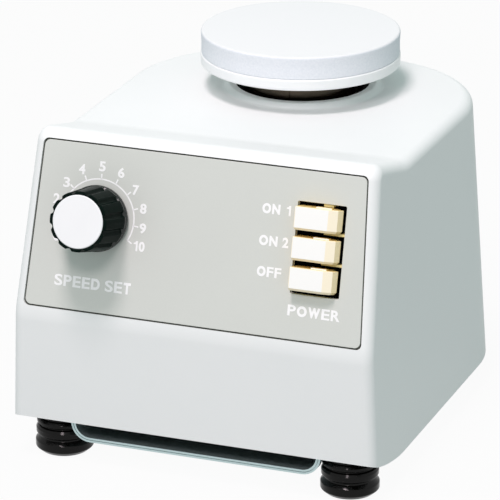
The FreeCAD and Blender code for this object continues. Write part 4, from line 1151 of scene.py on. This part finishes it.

# The foam has a smooth skin on top, and its cut side shows the cells as a speckle. The side is
# painted darker and bluer than the top by which way it faces, partly painted shade. The cells are
# drawn coarser than real ones, so that they show.
foam, tree, shader = start_material(
    "closed_cell_foam", IOR=1.45, Roughness=0.8, Specular_IOR_Level=0.3,
)
place = add_node(tree, "ShaderNodeTexCoord").outputs["Object"]
cells = add_node(tree, "ShaderNodeTexVoronoi", {"Vector": place, "Scale": 1 / FOAM_CELL})
specks = add_node(tree, "ShaderNodeTexNoise", {
    "Vector": place, "Scale": 1 / FOAM_SPECK, "Detail": 2.0,
})
facing = add_node(tree, "ShaderNodeNewGeometry").outputs["Normal"]
axis = add_node(tree, "ShaderNodeSeparateXYZ", {"Vector": facing})
skin_and_shade = add_node(tree, "ShaderNodeMapRange", {
    "Value": axis.outputs["Z"], "From Min": SKIN_AND_SHADE_TURN[0], "From Max": SKIN_AND_SHADE_TURN[1],
})
side_tone = add_node(tree, "ShaderNodeMix", {
    0: specks.outputs["Fac"], 6: linear(FOAM_DARK), 7: linear(FOAM_LIGHT),
}, data_type="RGBA")
tone = add_node(tree, "ShaderNodeMix", {
    0: skin_and_shade.outputs["Result"], 6: side_tone.outputs[2], 7: linear(FOAM_SKIN),
}, data_type="RGBA")
relief = add_node(tree, "ShaderNodeBump", {
    "Height": cells.outputs["Distance"], "Strength": 0.25, "Distance": FOAM_DEPTH,
})
tree.links.new(tone.outputs[2], shader.inputs["Base Color"])
tree.links.new(relief.outputs["Normal"], shader.inputs["Normal"])
dress(pad, foam, "head", ["head_pad"])


# Drive: the shaded-pole motor, its brackets, eccentric and bearing, and the regulator board. They
# are hidden in the casting, and each has the plain finish of its own metal or moulding.
FINISH_GRAIN = 1.5 * MM
SMOOTHER = 0.05
ROUGHER = 0.1
# Each finish gives the eye an even tone with a slight grain. A row holds its light and dark tones,
# how far it is a metal, its roughness, and the nodes that have it.
FINISHES = [
    ("machined_steel", "#B9BCBE", "#A4A8AA", 1.0, 0.35, [
        "pot_shaft", "pot_nut", "switch_screws", "head_screw", "guide_pins", "bearing_outer",
        "bearing_inner", "eccentric_hub", "motor_shaft", "motor_screws", "motor_plate", "mount_bolts",
        "board_standoffs",
    ]),
    ("oiled_laminations", "#6E6C68", "#54524F", 0.9, 0.5, ["rotor", "stator"]),
    ("cast_alloy", "#B2B4B4", "#9A9C9C", 0.9, 0.55, [
        "head_carrier", "lower_bracket", "upper_bracket", "triac_heatsink",
    ]),
    ("sintered_bronze", "#9A7440", "#7E5C30", 0.9, 0.5, ["lower_bush", "upper_bush", "counterweight"]),
    ("varnished_copper_wire", "#8C4A22", "#6B3516", 0.6, 0.4, ["stator_coils"]),
    ("green_laminate", "#1F5A34", "#184A2A", 0.0, 0.45, ["speed_board"]),
    ("film_capacitor_case", "#C8A23A", "#B8922E", 0.0, 0.4, ["filter_capacitor"]),
    ("soft_black_rubber", "#141413", "#0C0C0C", 0.0, 0.6, ["guide_bushes"]),
]
for name, light, dark, metallic, rough, nodes in FINISHES:
    finish = mottled(
        name, dark, light, FINISH_GRAIN, detail=3.0, rough=(rough - SMOOTHER, rough + ROUGHER),
        Metallic=metallic,
    )
    for node in nodes:
        finish_node(node, finish)


# Motor mounts: four waisted rubber spools between the floor and the motor plate, each moulded in
# one piece. They carry the drive, and they give under it when the head is pressed down.
SPOOL_R = 8 * MM
SPOOL_WAIST_R = 5.8 * MM
SPOOL_BORE_R = 3.2 * MM
SPOOL_FLANGE = 2.5 * MM
SPOOL_PLACES = [(-40 * MM, -32 * MM), (40 * MM, -32 * MM), (-26 * MM, 32 * MM), (26 * MM, 32 * MM)]
spool_low, spool_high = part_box("rubber_mounts")
spools_mesh = bmesh.new()
for x, y in SPOOL_PLACES:
    merge(spools_mesh, spun([
        (SPOOL_BORE_R, spool_low.z, 0),
        (SPOOL_R, spool_low.z, 0.4 * MM),
        (SPOOL_R, spool_low.z + SPOOL_FLANGE, 0.6 * MM),
        (SPOOL_WAIST_R, spool_low.z + 2 * SPOOL_FLANGE, 1.0 * MM),
        (SPOOL_R, spool_high.z - SPOOL_FLANGE, 0.6 * MM),
        (SPOOL_R, spool_high.z, 0.4 * MM),
        (SPOOL_BORE_R, spool_high.z, 0),
    ], MOTOR @ Matrix.Translation((x, y, 0)), steps=48, segments=4))
spools = to_object(spools_mesh, "rubber_spools")
dress(spools, rubber, "base", ["rubber_mounts"])
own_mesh(spools)


# Gland: a black rubber bush with a flange and a short nose, moulded in one piece. It is snapped
# into the rear wall, where a mains lead comes in.
GLAND_BORE_R = 3.6 * MM
GLAND_FLANGE_R = 10 * MM
GLAND_NOSE_R = 5.6 * MM
GLAND_TAPER = 0.4 * MM
GLAND_INNER = -6 * MM
GLAND_FLANGE = 2.6 * MM
GLAND_END = 7.1 * MM
gland = to_object(spun([
    (GLAND_BORE_R, GLAND_INNER, 0),
    (GLAND_R, GLAND_INNER, 0),
    (GLAND_R, 0, 0),
    (GLAND_FLANGE_R, 0, 0.4 * MM),
    (GLAND_FLANGE_R, GLAND_FLANGE, 0.9 * MM),
    (GLAND_NOSE_R, GLAND_FLANGE, 0.5 * MM),
    (GLAND_NOSE_R - GLAND_TAPER, GLAND_END, 0.5 * MM),
    (GLAND_BORE_R, GLAND_END, 0.4 * MM),
], GLAND, steps=64), "rubber_gland")
dress(gland, rubber, "base", ["cord_gland"])


# Studio: a pale floor that reads as white paper to the eye and keeps a soft shadow, an even pale
# surround, and two round lamps: a key lamp high in front and a steeper one nearer overhead.
FLOOR_HALF = 4.0
PAPER_GREY = "#C0C0C0"
PAPER_LIFT = 0.95
PURE_WHITE = "#FFFFFF"
SURROUND = 0.456
SURROUND_TINT = "#E2FFFC"
LAMP_TINT = "#FFEFF4"
LAMP_AIM = Vector((0, 0, 0.08))
# Each lamp with its place and width in metres and its power in watts.
LAMPS = [
    ("key_lamp", (0.20, -1.28, 1.18), 0.36, 7.2),
    ("top_lamp", (-0.05, -0.66, 1.68), 0.42, 17.0),
]
scene = bpy.context.scene
scene.view_settings.view_transform = "Standard"


def looked_at(tree):
    """One where the eye, or a mirror or a glass on the object, looks straight at a surface."""
    rays = add_node(tree, "ShaderNodeLightPath").outputs
    eye = add_node(tree, "ShaderNodeMath", {
        0: rays["Is Camera Ray"], 1: rays["Is Glossy Ray"],
    }, operation="ADD", use_clamp=True)
    return add_node(tree, "ShaderNodeMath", {
        0: eye.outputs[0], 1: rays["Is Transmission Ray"],
    }, operation="ADD", use_clamp=True).outputs[0]


floor_mesh = bmesh.new()
bmesh.ops.create_grid(floor_mesh, x_segments=1, y_segments=1, size=FLOOR_HALF)
floor = to_object(floor_mesh, "floor")

# Matt paper takes the shadow, and what the eye sees of it is lifted most of the way to white.
paper = bpy.data.materials.new("white_paper")
paper.use_nodes = True
tree = paper.node_tree
tree.nodes.clear()
lift = add_node(tree, "ShaderNodeMath", {0: looked_at(tree), 1: PAPER_LIFT}, operation="MULTIPLY")
matt = add_node(tree, "ShaderNodeBsdfDiffuse", {"Color": linear(PAPER_GREY)})
white = add_node(tree, "ShaderNodeEmission", {"Color": linear(PURE_WHITE), "Strength": 1.0})
both = add_node(tree, "ShaderNodeMixShader", {
    0: lift.outputs[0], 1: matt.outputs[0], 2: white.outputs[0],
})
add_node(tree, "ShaderNodeOutputMaterial", {"Surface": both.outputs[0]})
floor.data.materials.append(paper)

world = bpy.data.worlds.new("pale_surround")
scene.world = world
world.use_nodes = True
tree = world.node_tree
tree.nodes.clear()
dim = add_node(tree, "ShaderNodeBackground", {"Color": linear(SURROUND_TINT), "Strength": SURROUND})
bright = add_node(tree, "ShaderNodeBackground", {"Color": linear(PURE_WHITE), "Strength": 1.0})
both = add_node(tree, "ShaderNodeMixShader", {
    0: looked_at(tree), 1: dim.outputs[0], 2: bright.outputs[0],
})
add_node(tree, "ShaderNodeOutputWorld", {"Surface": both.outputs[0]})

for name, place, size, power in LAMPS:
    lamp = bpy.data.lights.new(name, "AREA")
    lamp.shape = "DISK"
    lamp.size = size
    lamp.energy = power
    lamp.color = linear(LAMP_TINT)[:3]
    lamp_object = bpy.data.objects.new(name, lamp)
    lamp_object.location = place
    lamp_object.rotation_euler = (LAMP_AIM - Vector(place)).to_track_quat("-Z", "Y").to_euler()
    scene.collection.objects.link(lamp_object)


# Camera: a long lens from the front right, a little above. Its place and its lens were fitted
# together to the edges of the object in the picture.
CAMERA_AIM = Vector((-6.44, -6.7, 65.35)) * MM
CAMERA_AZIMUTH = math.radians(20.82)
CAMERA_ELEVATION = math.radians(20.02)
CAMERA_DISTANCE = 1489.9 * MM
CAMERA_SENSOR = 36
CAMERA_LENS = 275.9
back = Vector((
    math.sin(CAMERA_AZIMUTH) * math.cos(CAMERA_ELEVATION),
    -math.cos(CAMERA_AZIMUTH) * math.cos(CAMERA_ELEVATION),
    math.sin(CAMERA_ELEVATION),
))
camera = bpy.data.cameras.new("camera")
camera.sensor_width = CAMERA_SENSOR
camera.lens = CAMERA_LENS
camera_object = bpy.data.objects.new("camera", camera)
camera_object.location = CAMERA_AIM + back * CAMERA_DISTANCE
camera_object.rotation_euler = (-back).to_track_quat("-Z", "Y").to_euler()
scene.collection.objects.link(camera_object)
scene.camera = camera_object
